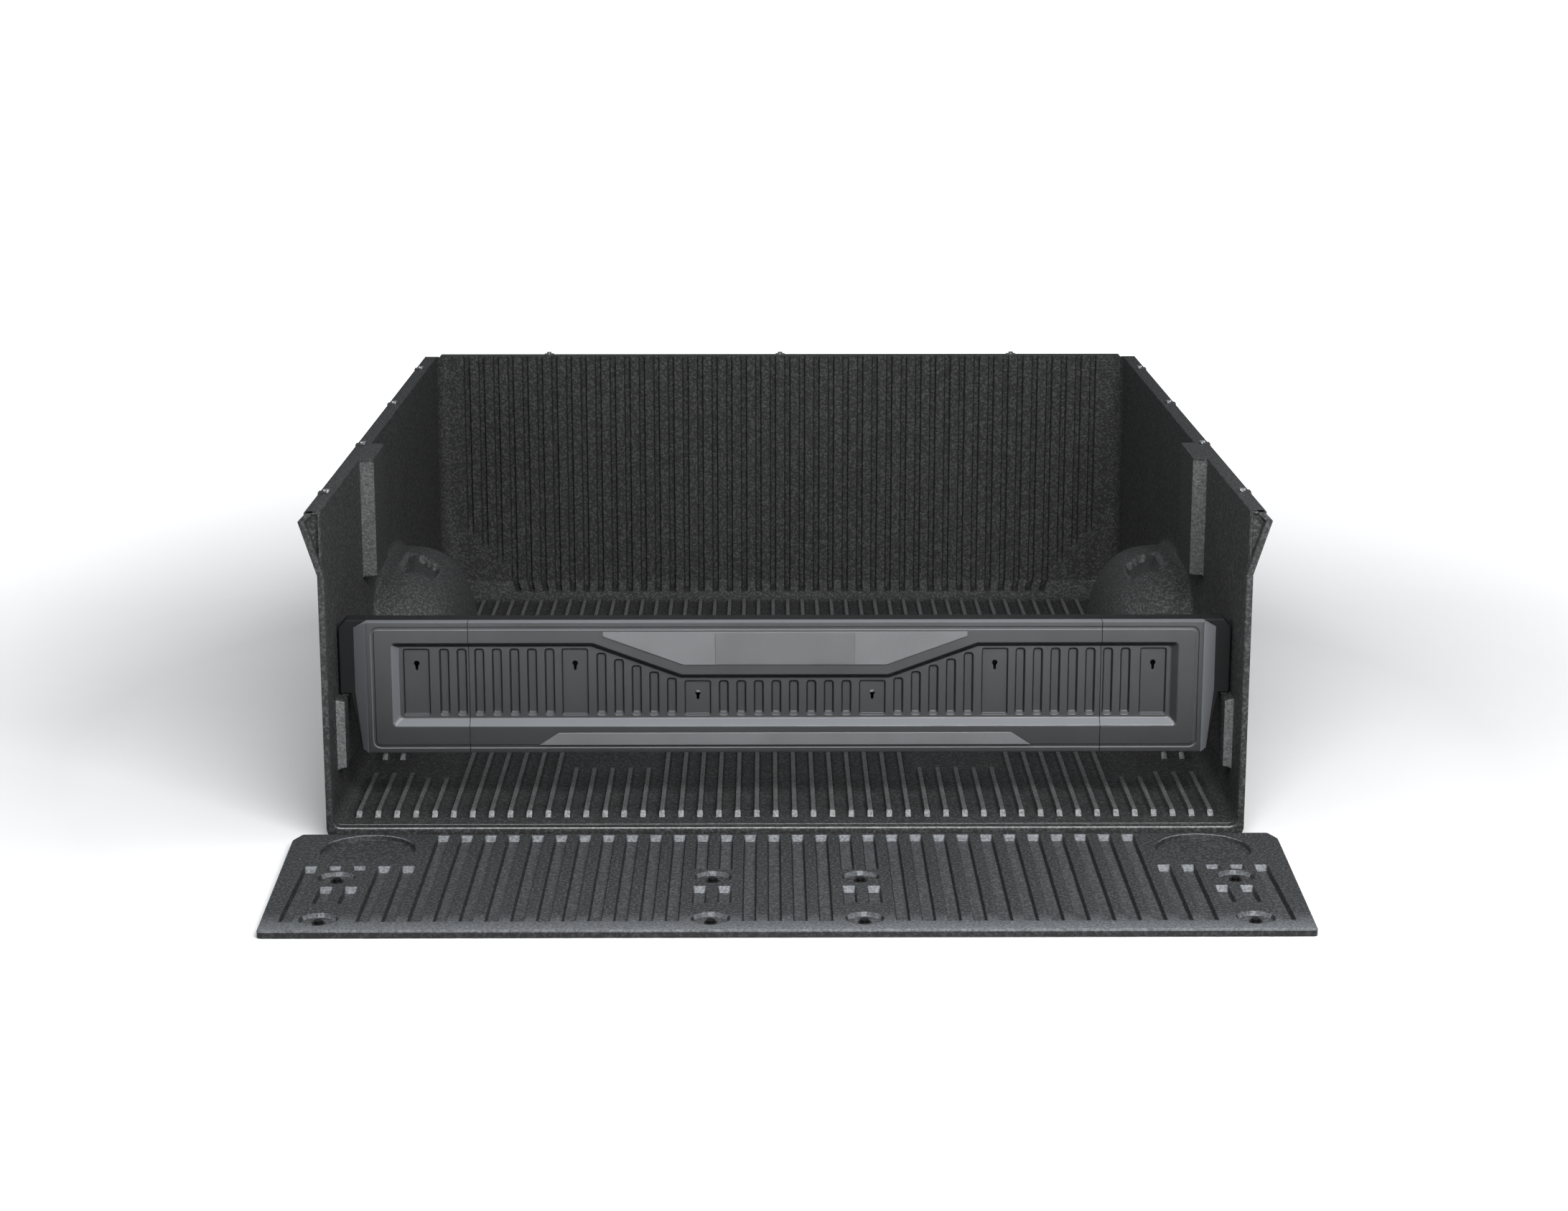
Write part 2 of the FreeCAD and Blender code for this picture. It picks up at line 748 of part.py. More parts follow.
def pocket_cutter(x, bottom, top, keyhole_drop):
    """A shallow pocket with a keyhole right through the face."""
    floor = S.face_front + S.panel_recess_depth
    half = S.pocket_width / 2
    pocket = box("pocket", (x - half, x + half), (floor - EMBED, floor + S.pocket_depth), (bottom, top))
    through = (S.face_front, S.face_front + S.face_depth + OVERRUN)
    z = top - keyhole_drop
    eye = cylinder("keyhole_eye", S.keyhole_radius, (x, z), through, axis="Y")
    half = S.keyhole_slot / 2
    tail = box("keyhole_tail", (x - half, x + half), through, (z - S.keyhole_length, z))
    return [pocket, eye, tail]


def slot_cutter(x, bottom, top):
    floor = S.face_front + S.panel_recess_depth
    half = S.slot_width / 2
    return box("slot", (x - half, x + half), (floor - EMBED, floor + S.slot_depth), (bottom, top))


def left_face_cutters():
    """Everything sunk into the left half of the face: recess, slots, pockets, keyholes."""
    depth = (S.face_front - OVERRUN, S.face_front + S.panel_recess_depth)
    left = -S.panel_recess_half
    low = box("recess_low", (left, 0), depth, (S.panel_recess_bottom, S.panel_recess_mid))
    high = frustum(
        "recess_high", "Z", (S.panel_recess_mid - EMBED, S.panel_recess_top),
        (left, -S.slope_low_x) + depth,
        (left, -S.slope_high_x) + depth,
    )
    cutters = [low, high]
    cutters += pocket_cutter(-S.pocket_outer_x, S.slot_bottom, S.slot_top, S.keyhole_drop)
    cutters += pocket_cutter(-S.pocket_middle_x, S.slot_bottom, S.slot_top, S.keyhole_drop)
    cutters += pocket_cutter(-S.pocket_inner_x, S.slot_bottom, S.slot_low_top, S.keyhole_inner_drop)
    for index in range(7):
        x = -S.slot_pitch * (S.outer_slots_from + index)
        cutters.append(slot_cutter(x, S.slot_bottom, S.slot_top))
    for index in range(5):
        x = -S.slot_pitch * (S.rising_slots_from + index)
        cutters.append(slot_cutter(x, S.slot_bottom, S.slot_first_rise + index * S.slot_step))
    for index in range(4):
        x = -S.slot_pitch * (S.centre_slots_from + index)
        cutters.append(slot_cutter(x, S.slot_bottom, S.slot_low_top))
    return cutters


def screw_places():
    """Places in X and Z of the long screws that close the divider's two halves."""
    left = (-S.screw_outer_x, -S.screw_middle_x, -S.screw_inner_x)
    return [(x, z) for x in left for z in (S.divider_screw_low, S.divider_screw_high)]


def splice_screw_places():
    z = (S.splice_bottom + S.splice_top) / 2
    return [(-S.seam + side * S.splice_screw_offset, z) for side in (-1, 1)]


def blind_hole_cutters():
    back = S.face_front + S.face_depth
    places = screw_places() + splice_screw_places()
    span = (back - S.thread_depth, back + OVERRUN)
    return [cylinder("thread", S.divider_hole_radius, at, span, axis="Y") for at in places]


def make_faces():
    depth = (S.face_front, S.face_front + S.face_depth)
    height = (S.face_bottom, S.face_top)
    left_cutters = group("face_cutters", left_face_cutters() + blind_hole_cutters())
    right_cutters = mirrored("right_face_cutters", left_cutters)
    inner = S.seam - S.seam_gap
    centre = box("face_centre", (-inner, inner), depth, height)
    centre = cut("face_centre_left", centre, left_cutters)
    piece(cut("face_centre_right", centre, right_cutters), "divider_face_center")

    end = box("face_end", (-S.face_half, -S.seam - S.seam_gap), depth, height)
    bevel = frustum(
        "face_bevel", "Y", (S.face_front, S.bevel_back),
        (-S.face_half - EMBED, -S.face_half, S.face_bottom, S.face_top),
        (-S.bevel_half, -S.face_half, S.face_bottom, S.bevel_top),
    )
    taper = frustum(
        "bevel_taper", "Z", (S.face_bottom - EMBED, S.bevel_knee),
        (-S.bevel_half - OVERRUN, -S.bevel_low_half, S.face_front - OVERRUN, S.bevel_back + OVERRUN),
        (-S.bevel_half - OVERRUN, -S.bevel_half, S.face_front - OVERRUN, S.bevel_back + OVERRUN),
    )
    end = cut("face_end_taper", fuse("face_end_body", [end, bevel]), taper)
    end = cut("face_end_cut", end, left_cutters)
    piece(mirrored("face_right", end), "divider_face_right")
    piece(group("face_left", [end]), "divider_face_left")


def make_trims():
    front = S.face_front
    badge_depth = (front - S.badge_depth, front)
    half = (-S.badge_half, S.badge_half) + badge_depth
    low = (-S.badge_low_half, S.badge_low_half) + badge_depth
    slope = frustum("badge_slope", "Z", (S.badge_bottom, S.badge_shoulder), low, half)
    crown = frustum("badge_crown", "Z", (S.badge_shoulder, S.badge_top), half, half)
    piece(fuse("badge", [slope, crown]), "badge_plate")

    name_front = front - S.badge_depth
    name = box(
        "name", (-S.name_half, S.name_half), (name_front - S.name_depth, name_front),
        (S.name_bottom, S.name_top),
    )
    piece(group("name_plate", [name]), "blank_name_plate")

    trim_depth = (front - S.trim_depth, front)
    trim = frustum(
        "trim", "Z", (S.trim_bottom, S.trim_top),
        (-S.trim_half, S.trim_half) + trim_depth,
        (-S.trim_top_half, S.trim_top_half) + trim_depth,
    )
    piece(trim, "lower_trim_strip")


def make_shell():
    front = S.face_front + S.face_depth
    wall = S.shell_wall
    half = S.face_half
    outside = box("shell_outside", (-half, half), (front, S.shell_back), (S.face_bottom, S.shell_top))
    inside = box(
        "shell_inside", (wall - half, half - wall), (front - OVERRUN, S.shell_back - wall),
        (S.face_bottom + wall, S.shell_top - wall),
    )
    span = (S.shell_back - wall - OVERRUN, S.shell_back + OVERRUN)
    places = screw_places()
    holes = [cylinder("shell_hole", S.divider_hole_radius, at, span, axis="Y") for at in places]
    left_holes = group("shell_holes", holes)
    shell = cut("shell_hollow", outside, inside)
    shell = cut("shell_left", shell, left_holes)
    piece(cut("shell", shell, mirrored("right_shell_holes", left_holes)), "divider_back_shell")

    rail_span = (S.shell_top, S.shell_top + S.rail_height)
    back = (front, S.shell_back)
    rail = frustum(
        "rail", "Z", rail_span,
        (-half, half) + back,
        (-half, half, front, S.shell_back - S.rail_height / 2),
    )
    piece(rail, "divider_top_rail")


def make_stiffener():
    back = S.shell_back - S.shell_wall
    depth = (back - S.tube_depth, back)
    height = (S.tube_bottom, S.tube_bottom + S.tube_height)
    outside = box("tube_outside", (-S.tube_half, S.tube_half), depth, height)
    wall = S.tube_wall
    inside = box(
        "tube_inside", (-S.tube_half - OVERRUN, S.tube_half + OVERRUN),
        (depth[0] + wall, depth[1] - wall), (height[0] + wall, height[1] - wall),
    )
    piece(cut("tube", outside, inside), "stiffening_tube")


def long_screw(name, at, front, back):
    """A pan-head screw driven forward from behind; back is the face its head bears on."""
    head_span = (back, back + S.divider_head_height)
    head = cylinder(name + "_head", S.divider_head_radius, at, head_span, axis="Y")
    shank = cylinder(name + "_shank", S.divider_screw_radius, at, (front, back), axis="Y")
    return fuse(name, [head, shank])


def make_divider_fasteners():
    face_back = S.face_front + S.face_depth
    tip = face_back - S.thread_depth + EMBED
    plate_back = face_back + S.splice_sheet
    plate = box(
        "splice", (-S.seam - S.splice_half, -S.seam + S.splice_half), (face_back, plate_back),
        (S.splice_bottom, S.splice_top),
    )
    span = (face_back - EMBED, plate_back + EMBED)
    holes = [
        cylinder("splice_hole", S.divider_hole_radius, at, span, axis="Y")
        for at in splice_screw_places()
    ]
    plate = cut("splice_plate", plate, group("splice_holes", holes))
    piece(mirrored("right_splice", plate), "right_splice_plate")
    piece(group("left_splice", [plate]), "left_splice_plate")

    screws = [long_screw("splice_screw", at, tip, plate_back) for at in splice_screw_places()]
    left = group("left_splice_screws", screws)
    piece(group("all_splice_screws", [left, mirrored("right_splice_screws", left)]), "splice_screws")

    screws = [long_screw("divider_screw", at, tip, S.shell_back) for at in screw_places()]
    left = group("left_divider_screws", screws)
    piece(group("all_divider_screws", [left, mirrored("right_divider_screws", left)]), "divider_screws")


def make_end_caps():
    depth = (S.bevel_back, S.shell_back)
    inner = -S.face_half
    upper = box("cap_upper", (-S.cap_half, inner), depth, (S.cap_ledge, S.cap_top))
    lower = frustum(
        "cap_lower", "Z", (S.face_bottom, S.cap_ledge),
        (-S.cap_low_half, inner) + depth,
        (-S.cap_knee_half, inner) + depth,
    )
    overrun = (S.bevel_back - OVERRUN, S.shell_back + OVERRUN)
    outside = -S.cap_half - OVERRUN
    corner = frustum(
        "cap_corner", "Z", (S.cap_top - S.cap_corner, S.cap_top + EMBED),
        (outside, -S.cap_half) + overrun,
        (outside, -S.cap_half + S.cap_corner) + overrun,
    )
    cap = cut("cap", fuse("cap_body", [upper, lower]), corner)
    piece(mirrored("right_cap", cap), "right_end_cap")
    piece(group("left_cap", [cap]), "left_end_cap")

    pad_depth = (depth[0] + S.pad_end_gap, depth[1] - S.pad_end_gap)
    pad = box("pad", (-S.pad_out, -S.pad_in), pad_depth, (S.pad_bottom, S.cap_ledge))
    piece(mirrored("right_pad", pad), "right_rest_pad")
    piece(group("left_pad", [pad]), "left_rest_pad")


def check_and_write():
    doc.recompute()
    faults = [thing.Name for thing in doc.Objects if {"Invalid", "Error"} & set(thing.State)]
    if faults:
        raise RuntimeError(f"these objects failed to compute: {faults}")
    os.makedirs("parts", exist_ok=True)
    for thing in pieces:
        shape = thing.Shape
        if shape.isNull() or not shape.isValid() or not shape.Solids:
            raise RuntimeError(f"{thing.Label} has no valid solid")
        shape.exportStep(f"parts/{thing.Label}.step")
        print(f"{thing.Label}: {len(shape.Solids)} solids, {shape.Volume / 1000:.1f} cm3")


fill_sheet()
make_tub()
make_rail_fasteners()
make_tailgate_liner()
make_tailgate_fasteners()
make_faces()
make_trims()
make_shell()
make_stiffener()
make_divider_fasteners()
make_end_caps()
check_and_write()
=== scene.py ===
"""Looks of the pickup bed liner set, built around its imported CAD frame.

Shapes are drawn in millimetres from the tub's rear edge: X right, Y forward, Z up, with the
tub's underside at Z = 0. make_piece turns them into metres in the frame's own place.
"""

import json
import math

import bmesh
import bpy
import numpy as np
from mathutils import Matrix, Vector
from mathutils.geometry import delaunay_2d_cdt


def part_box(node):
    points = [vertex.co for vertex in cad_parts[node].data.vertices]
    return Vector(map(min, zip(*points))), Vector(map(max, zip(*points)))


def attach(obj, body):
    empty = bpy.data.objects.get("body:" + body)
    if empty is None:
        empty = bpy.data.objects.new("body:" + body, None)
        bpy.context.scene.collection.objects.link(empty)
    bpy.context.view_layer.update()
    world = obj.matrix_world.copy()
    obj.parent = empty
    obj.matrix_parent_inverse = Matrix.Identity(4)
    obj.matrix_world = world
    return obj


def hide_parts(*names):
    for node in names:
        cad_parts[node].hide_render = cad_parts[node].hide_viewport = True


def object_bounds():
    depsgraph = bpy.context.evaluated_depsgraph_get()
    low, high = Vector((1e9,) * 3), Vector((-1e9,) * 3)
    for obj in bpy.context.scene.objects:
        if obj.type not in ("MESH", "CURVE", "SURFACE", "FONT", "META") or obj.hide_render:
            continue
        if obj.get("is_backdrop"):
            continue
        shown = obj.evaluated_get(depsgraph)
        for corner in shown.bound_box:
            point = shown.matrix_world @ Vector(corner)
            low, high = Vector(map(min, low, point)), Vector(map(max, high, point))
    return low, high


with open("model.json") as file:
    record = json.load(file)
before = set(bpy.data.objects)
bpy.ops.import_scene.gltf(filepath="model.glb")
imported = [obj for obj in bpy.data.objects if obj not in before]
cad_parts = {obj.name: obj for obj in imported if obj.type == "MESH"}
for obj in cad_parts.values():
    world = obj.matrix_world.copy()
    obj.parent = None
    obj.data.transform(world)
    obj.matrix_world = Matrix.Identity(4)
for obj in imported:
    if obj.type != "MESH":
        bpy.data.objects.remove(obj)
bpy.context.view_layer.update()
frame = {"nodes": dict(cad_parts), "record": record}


def corners():
    return [list(corner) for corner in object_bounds()]


MM = 0.001
REAR_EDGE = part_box("bed_tub")[0].y / MM

# ---------------------------------------------------------------- driving sizes, millimetres

HALF_WIDTH = 741.0
FLOOR_LENGTH = 1715.0
HEIGHT = 541.0
SHEET = 4.0
PITCH = 31.5
RIBS = 46
RIB_HEIGHT = 10.0
GROOVE_DEPTH = 10.0
BAND = 40.0

# ---------------------------------------------------------------- mesh building


def encloses(outline, point):
    """Whether a closed outline runs round a point, both flat."""
    crossings = 0
    for (x1, y1), (x2, y2) in zip(outline, outline[1:] + outline[:1]):
        if (y1 > point[1]) != (y2 > point[1]):
            crossings += point[0] < x1 + (point[1] - y1) / (y2 - y1) * (x2 - x1)
    return crossings % 2 == 1


class Shell:
    """Vertices in millimetres and faces, gathered loop by loop."""

    def __init__(self):
        self.points = []
        self.faces = []

    def add(self, points):
        """Add points and return their numbers."""
        start = len(self.points)
        self.points.extend(tuple(float(c) for c in p) for p in points)
        return list(range(start, start + len(points)))

    def bridge(self, first, second, closed=True):
        """Quads between two loops that have as many points as each other."""
        count = len(first)
        for i in range(count if closed else count - 1):
            j = (i + 1) % count
            self.faces.append((first[i], first[j], second[j], second[i]))

    def fill(self, outer, holes, flat):
        """Flat triangles inside a loop and outside its holes; flat gives a point's two places."""
        numbers, owner, edges = [], [], []
        for place, loop in enumerate([outer] + holes):
            start = len(numbers)
            numbers += loop
            owner += [place] * len(loop)
            edges += [(start + i, start + (i + 1) % len(loop)) for i in range(len(loop))]
        places = [Vector(flat(self.points[n])) for n in numbers]
        result = delaunay_2d_cdt(places, edges, [], 0, 1e-5)
        outlines = [[flat(self.points[n]) for n in loop] for loop in [outer] + holes]
        for face in result[2]:
            origin = [result[3][i][0] for i in face]
            owners = {owner[i] for i in origin}
            if len(owners) == 1:
                loop = owners.pop()
                middle = sum((places[i] for i in origin), Vector((0, 0))) / 3
                if encloses(outlines[loop], middle) != (loop == 0):
                    continue
            self.faces.append(tuple(numbers[i] for i in origin))

    def join(self, loops, closed=True):
        """Bands of quads from each loop to the next."""
        for first, second in zip(loops[:-1], loops[1:]):
            self.bridge(first, second, closed)


def make_piece(name, shell, body, slot, replaced, weld=0.02, smooth=35):
    """Turn a shell into a piece of the model that stands for the CAD nodes in replaced."""
    mesh = bpy.data.meshes.new(name)
    points = [(x * MM, (y + REAR_EDGE) * MM, z * MM) for x, y, z in shell.points]
    mesh.from_pydata(points, [], shell.faces)
    work = bmesh.new()
    work.from_mesh(mesh)
    bmesh.ops.remove_doubles(work, verts=work.verts, dist=weld * MM)
    bmesh.ops.recalc_face_normals(work, faces=work.faces)
    work.to_mesh(mesh)
    work.free()
    mesh.shade_smooth()
    mesh.set_sharp_from_angle(angle=math.radians(smooth))
    piece = bpy.data.objects.new(name, mesh)
    bpy.context.scene.collection.objects.link(piece)
    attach(piece, body)
    piece["slot_name"] = slot
    if replaced:
        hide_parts(*replaced)
    return piece


def thicken(piece, thickness):
    """Give a one-sided sheet its real thickness, behind its shown side."""
    solid = piece.modifiers.new("sheet", "SOLIDIFY")
    solid.thickness = thickness * MM
    solid.offset = -1
    return piece


def mark_wear_and_painted_light(piece, wear_and_painted_light):
    """Store each face's painted light, from -1 for painted shade to 1 for a painted highlight; 0 leaves it
    as it is.

    The function given is told the face's middle, in millimetres from the rear edge, and its normal.
    On rib crests the painted highlight also stands for rubbed wear.
    """
    values = []
    for face in piece.data.polygons:
        x, y, z = face.center / MM
        values.append(float(wear_and_painted_light(x, y - REAR_EDGE, z, face.normal)))
    attribute = piece.data.attributes.new("wear_and_painted_light", "FLOAT", "FACE")
    attribute.data.foreach_set("value", values)
    return piece


def even_normals(piece):
    """Keep large flats flat where small rounded edges meet them."""
    weighted = piece.modifiers.new("normals", "WEIGHTED_NORMAL")
    weighted.keep_sharp = True
    weighted.weight = 80
    return piece


def rounded(points, radius, inset=0.0, steps=4):
    """A counter-clockwise polygon moved inwards by inset, with its corners rounded.

    radius is one number, or one for each corner.
    """
    points = [np.array(p, float) for p in points]
    count = len(points)
    radii = [radius] * count if np.isscalar(radius) else list(radius)
    outline = []
    for i in range(count):
        before, here, after = points[i - 1], points[i], points[(i + 1) % count]
        d1 = (here - before) / np.linalg.norm(here - before)
        d2 = (after - here) / np.linalg.norm(after - here)
        n1, n2 = np.array((-d1[1], d1[0])), np.array((-d2[1], d2[0]))
        corner = here + (n1 + n2) * inset / (1 + n1.dot(n2))
        turn = math.atan2(d1[0] * d2[1] - d1[1] * d2[0], d1.dot(d2))
        side = 1 if turn > 0 else -1
        bend = max(radii[i] - side * inset, 0.15)
        centre = corner - d1 * bend * math.tan(abs(turn) / 2) + n1 * bend * side
        start = math.atan2(-n1[1] * side, -n1[0] * side)
        for step in range(steps + 1):
            angle = start + turn * step / steps
            outline.append(centre + bend * np.array((math.cos(angle), math.sin(angle))))
    return outline


def rectangle(x, z):
    return [(x[0], z[0]), (x[1], z[0]), (x[1], z[1]), (x[0], z[1])]


def circle(centre, radius, inset=0.0, steps=40):
    angles = [2 * math.pi * i / steps for i in range(steps)]
    size = radius - inset
    return [(centre[0] + size * math.cos(a), centre[1] + size * math.sin(a)) for a in angles]


def drops(depth, soft):
    """Depths of the rings down a formed wall: close together round its two soft edges."""
    near = [0.0, 0.12 * soft, 0.4 * soft, soft]
    return near + [depth - d for d in reversed(near)]


def inset_at(drop, depth, run, soft):
    """How far a wall that leans by run has moved in at this depth, its edges rounded."""
    top = soft * max(0.0, 1 - drop / soft) ** 2
    foot = soft * max(0.0, 1 - (depth - drop) / soft) ** 2
    return run * drop / depth - top + foot


# ---------------------------------------------------------------- tub

# The wheel wells: their middle and its reach to the rear and front, into the tub, and up. The
# powers say how square the dome is, across and along.
WELL_CENTRE = 760.0
WELL_REAR, WELL_FRONT = 215.0, 420.0
WELL_REACH = 165.0
WELL_HEIGHT = 298.0
WELL_POWER, WELL_ALONG = 3.1, 2.75
# How far inside the tub the point lies that a plain box is drawn towards as it is formed.
RAY_REACH, RAY_RISE = 320.0, 420.0
HALVINGS = 30
# A notch sunk in the well's top: its outline as |X|, Y, and the line of the ridge in its bed.
NOTCH_RIM = (
    (707.0, 842.0), (673.0, 832.0), (640.0, 800.0), (638.0, 705.0), (703.0, 690.0), (707.0, 842.0),
)
NOTCH_RIDGE = ((669.0, 703.0), (697.0, 838.0))
NOTCH_DEPTH, NOTCH_WALL = 17.0, 6.0
NOTCH_REAR, NOTCH_FRONT = NOTCH_RIM[3][1], NOTCH_RIM[0][1]
REAR_SHARE = 0.2
RIDGE_WIDTH, RIDGE_SHARE = 18.0, 0.7

# Bulges that stand out of the side walls.
LEDGE = {"y": (118.0, 690.0), "z": (88.0, 202.0), "reach": 14.0}
POST = {"y": (490.0, 640.0), "z": (331.0, 700.0), "reach": 24.0}
BULGE_SOFT = 3.0
BULGE_LINES = (3.5, 2.6, -0.6, -1.5)

# The floor ribs: half a section, as offset and share of height; an end's slope, as distance in
# and share of height; and gaps, as first and last rib from the side wall, and two places along Y.
RIB_LINES = ((-6.6, 0.0), (-5.6, 0.1), (-4.7, 0.86), (-3.6, 1.0))
RAMP = ((-0.8, 0.0), (1.0, 0.06), (11.4, 0.93), (13.4, 1.0))
RIB_START, RIB_STOP = 103.0, 1672.0
RIB_GAPS = ((0, 1, 347.0, 442.0), (2, 2, 347.0, 500.0), (3, 4, 316.0, 500.0), (11, 15, 376.0, 500.0))
RIB_MARGIN, WELL_MARGIN = 8.0, 20.0

# The bulkhead's grooves: where they start, and the outermost ones that start higher up.
GROOVE_FOOT = 24.0
SHORT_GROOVES = {1: 148.0, 2: 115.0, 3: 82.0}
GROOVE_RAMP = 9.0
GROOVES_FROM = 1680.0
GROOVE_WIDEN = 1.16

# Fillets between the tub's faces. The upright corners are wider low down: height and radius.
CORNER_HEIGHTS, CORNER_RADII = (0, 34, 202, 541), (62, 58, 26, 24)
WALL_FILLET, BAND_FILLET, FOOT_FILLET, WELL_FILLET = 26.0, 10.0, 6.0, 14.0

# The top flange: share of its reach and rise over the tub's height, and its reach past the sheet.
FLANGE_STEPS = ((0.06, -0.25), (0.15, 0.0), (0.5, 0.0), (1.0, 0.0))
FLANGE_TURN = 1.2
SIDE_FLANGE, FRONT_FLANGE = 20.0, 16.0
DRAWN_SHEET = 3.2

# How pale each painted highlight is and how dark each painted shade, as the marking function above
# # stores them on faces; the rib crests' highlight is also rubbed wear.
WEAR_AND_PAINTED_LIGHT = {
    "rib_crest": 0.3, "rib_end": 1.0, "ledge_end": 0.45, "post_end": 0.2,
    "notch_bed": -0.35, "notch_line": 0.08, "bead_top": 0.9, "bead_wall": -0.95,
    "gate_lip": -0.9, "channel_side": -0.6, "channel_end": 0.55, "recess_side": 0.25,
    "big_recess_edge": 0.35, "big_recess_side": -0.5,
    "facet": 0.9, "recess_foot": 0.6, "slot_foot": 0.2, "recess_head": -0.9,
    "recess_end": 0.4, "slot_side": -0.7,
}


def rib_centre(index):
    return (index + 0.5 - RIBS / 2) * PITCH


def well_gap(index):
    """Where the floor ribs stop for the wheel well, as two places along Y."""
    share = (HALF_WIDTH + rib_centre(index) + RIB_MARGIN) / WELL_REACH
    if share >= 1:
        return None
    along = (1 - share**WELL_POWER) ** (1 / WELL_ALONG)
    rear = WELL_CENTRE - along * WELL_REAR - WELL_MARGIN
    return rear, WELL_CENTRE + along * WELL_FRONT + WELL_MARGIN


def rib_spans(index):
    """Stretches of the floor rib with this number, counted from the nearer side wall."""
    breaks = [(start, stop) for low, high, start, stop in RIB_GAPS if low <= index <= high]
    gap = well_gap(index)
    if gap:
        breaks.append(gap)
    limits = [RIB_START]
    for pair in breaks:
        limits += pair
    limits.append(RIB_STOP)
    return list(zip(limits[0::2], limits[1::2]))


def merged(values, least):
    """Sorted values with near repeats left out."""
    kept = []
    for value in sorted(values):
        if not kept or value - kept[-1] >= least:
            kept.append(value)
    return kept


def filled_in(values, spacing):
    """Add even steps wherever two values are further apart than spacing(middle)."""
    result = [values[0]]
    for value in values[1:]:
        gap = value - result[-1]
        steps = max(1, math.ceil(gap / spacing((value + result[-1]) / 2)))
        start = result[-1]
        result += [start + gap * (i + 1) / steps for i in range(steps)]
    return result


def rib_ramps():
    """All places along Y where some rib starts or stops, with the sign of its ramp."""
    ramps = set()
    for index in range(RIBS // 2):
        for start, stop in rib_spans(index):
            ramps.update(((start, 1), (stop, -1)))
    return sorted(ramps)


def along_ramp(distance):
    """Share of a rib's height at this distance in from its end."""
    return float(np.interp(distance, *zip(*RAMP)))


def bulge_lines(axis):
    """Places along an axis where the side bulges start and stop, close together at each."""
    values = []
    for bulge in (LEDGE, POST):
        for edge, sign in zip(bulge[axis], (-1, 1)):
            if axis == "y" or edge < HEIGHT:
                values += [edge + sign * offset for offset in BULGE_LINES]
    return values


def y_spacing(y):
    """Steps along Y: fine along the wheel well, finest behind its notch's front."""
    if y < WELL_CENTRE - WELL_REAR - 30 or y > WELL_CENTRE + WELL_FRONT + 30:
        return 55.0
    return 5.0 if y < NOTCH_FRONT + 10 else 11.0


def z_spacing(z):
    if z > WELL_HEIGHT + 20:
        return 45.0
    return 5.0 if z > 180 else 9.0


def y_lines():
    values = [12.0, 21.0, 26.0, 1675.0, 1681.0, 1688.0, 1695.0, 1697.0, 1703.0, 1709.0, FLOOR_LENGTH]
    for place, sign in rib_ramps():
        values += [place + sign * offset for offset, _ in RAMP]
    return filled_in(merged(values + bulge_lines("y"), 0.85), y_spacing)


def x_lines():
    """Places across the floor, with each line's rib number and share of rib height."""
    edge = [-HALF_WIDTH, -737.0, -731.0, -725.0]
    lines = [(x, None, 0.0) for x in edge]
    for index in range(RIBS):
        centre = rib_centre(index)
        for offset, share in RIB_LINES:
            lines.append((centre + offset, index, share))
        for offset, share in reversed(RIB_LINES):
            lines.append((centre - offset, index, share))
    lines += [(-x, None, 0.0) for x in reversed(edge)]
    return lines


def z_lines():
    values = [SHEET, 8.0, 13.0, 18.0, 23.0, 24.6, 30.0, 36.0, 44.0, 52.0]
    for foot in SHORT_GROOVES.values():
        values += [foot, foot + 1.5, foot + 8.0, foot + 10.0]
    values += [HEIGHT - 6, HEIGHT - 3, HEIGHT - 1, HEIGHT]
    return filled_in(merged(values + bulge_lines("z"), 0.8), z_spacing)


def round_join(first, second, radius):
    """The smaller of two distances, with a fillet of this radius where they meet."""
    u = np.maximum(radius - first, 0)
    v = np.maximum(radius - second, 0)
    return np.maximum(radius, np.minimum(first, second)) - np.hypot(u, v)


def left_of(x, y, start, end):
    """Distance to the left of the line from start to end."""
    along = np.array(end) - np.array(start)
    return ((y - start[1]) * along[0] - (x - start[0]) * along[1]) / np.linalg.norm(along)


def within_notch(x, y):
    """Distance inside the notch's outline; negative outside it."""
    depths = [left_of(x, y, *line) for line in zip(NOTCH_RIM[:-1], NOTCH_RIM[1:])]
    return np.minimum.reduce(depths)


def sink_notch(points):
    """Sink the wheel well's notch into the formed points of its top."""
    x, y = np.abs(points[..., 0]), points[..., 1]
    wall = np.clip(within_notch(x, y) / NOTCH_WALL, 0, 1)
    ridge = np.clip(1 - np.abs(left_of(x, y, *NOTCH_RIDGE)) / RIDGE_WIDTH, 0, 1)
    forward = np.clip((y - NOTCH_REAR) / (NOTCH_FRONT - NOTCH_REAR), 0, 1)
    dip = forward * (1 - REAR_SHARE) + REAR_SHARE
    depth = NOTCH_DEPTH * dip * wall * (1 - RIDGE_SHARE * ridge)
    points[..., 2] -= np.where(points[..., 2] > WELL_HEIGHT - 60, depth, 0)


def dome_distance(wall, y, z):
    """About how far a point stands off the wheel well's dome, from the dome's size and slope."""
    length = np.where(y < WELL_CENTRE, WELL_REAR, WELL_FRONT)
    total, steep = 0.0, 0.0
    spans = (
        (wall, WELL_REACH, WELL_POWER), (z, WELL_HEIGHT, WELL_POWER),
        (y - WELL_CENTRE, length, WELL_ALONG),
    )
    for offset, reach, power in spans:
        share = np.abs(offset) / reach
        total = total + share**power
        steep = np.hypot(steep, power * share ** (power - 1) / reach)
    total = np.maximum(total, 1e-3)
    size = total ** (1 / WELL_POWER)
    slope = np.maximum(size / total / WELL_POWER * steep, 1e-5)
    return (size - 1) / slope


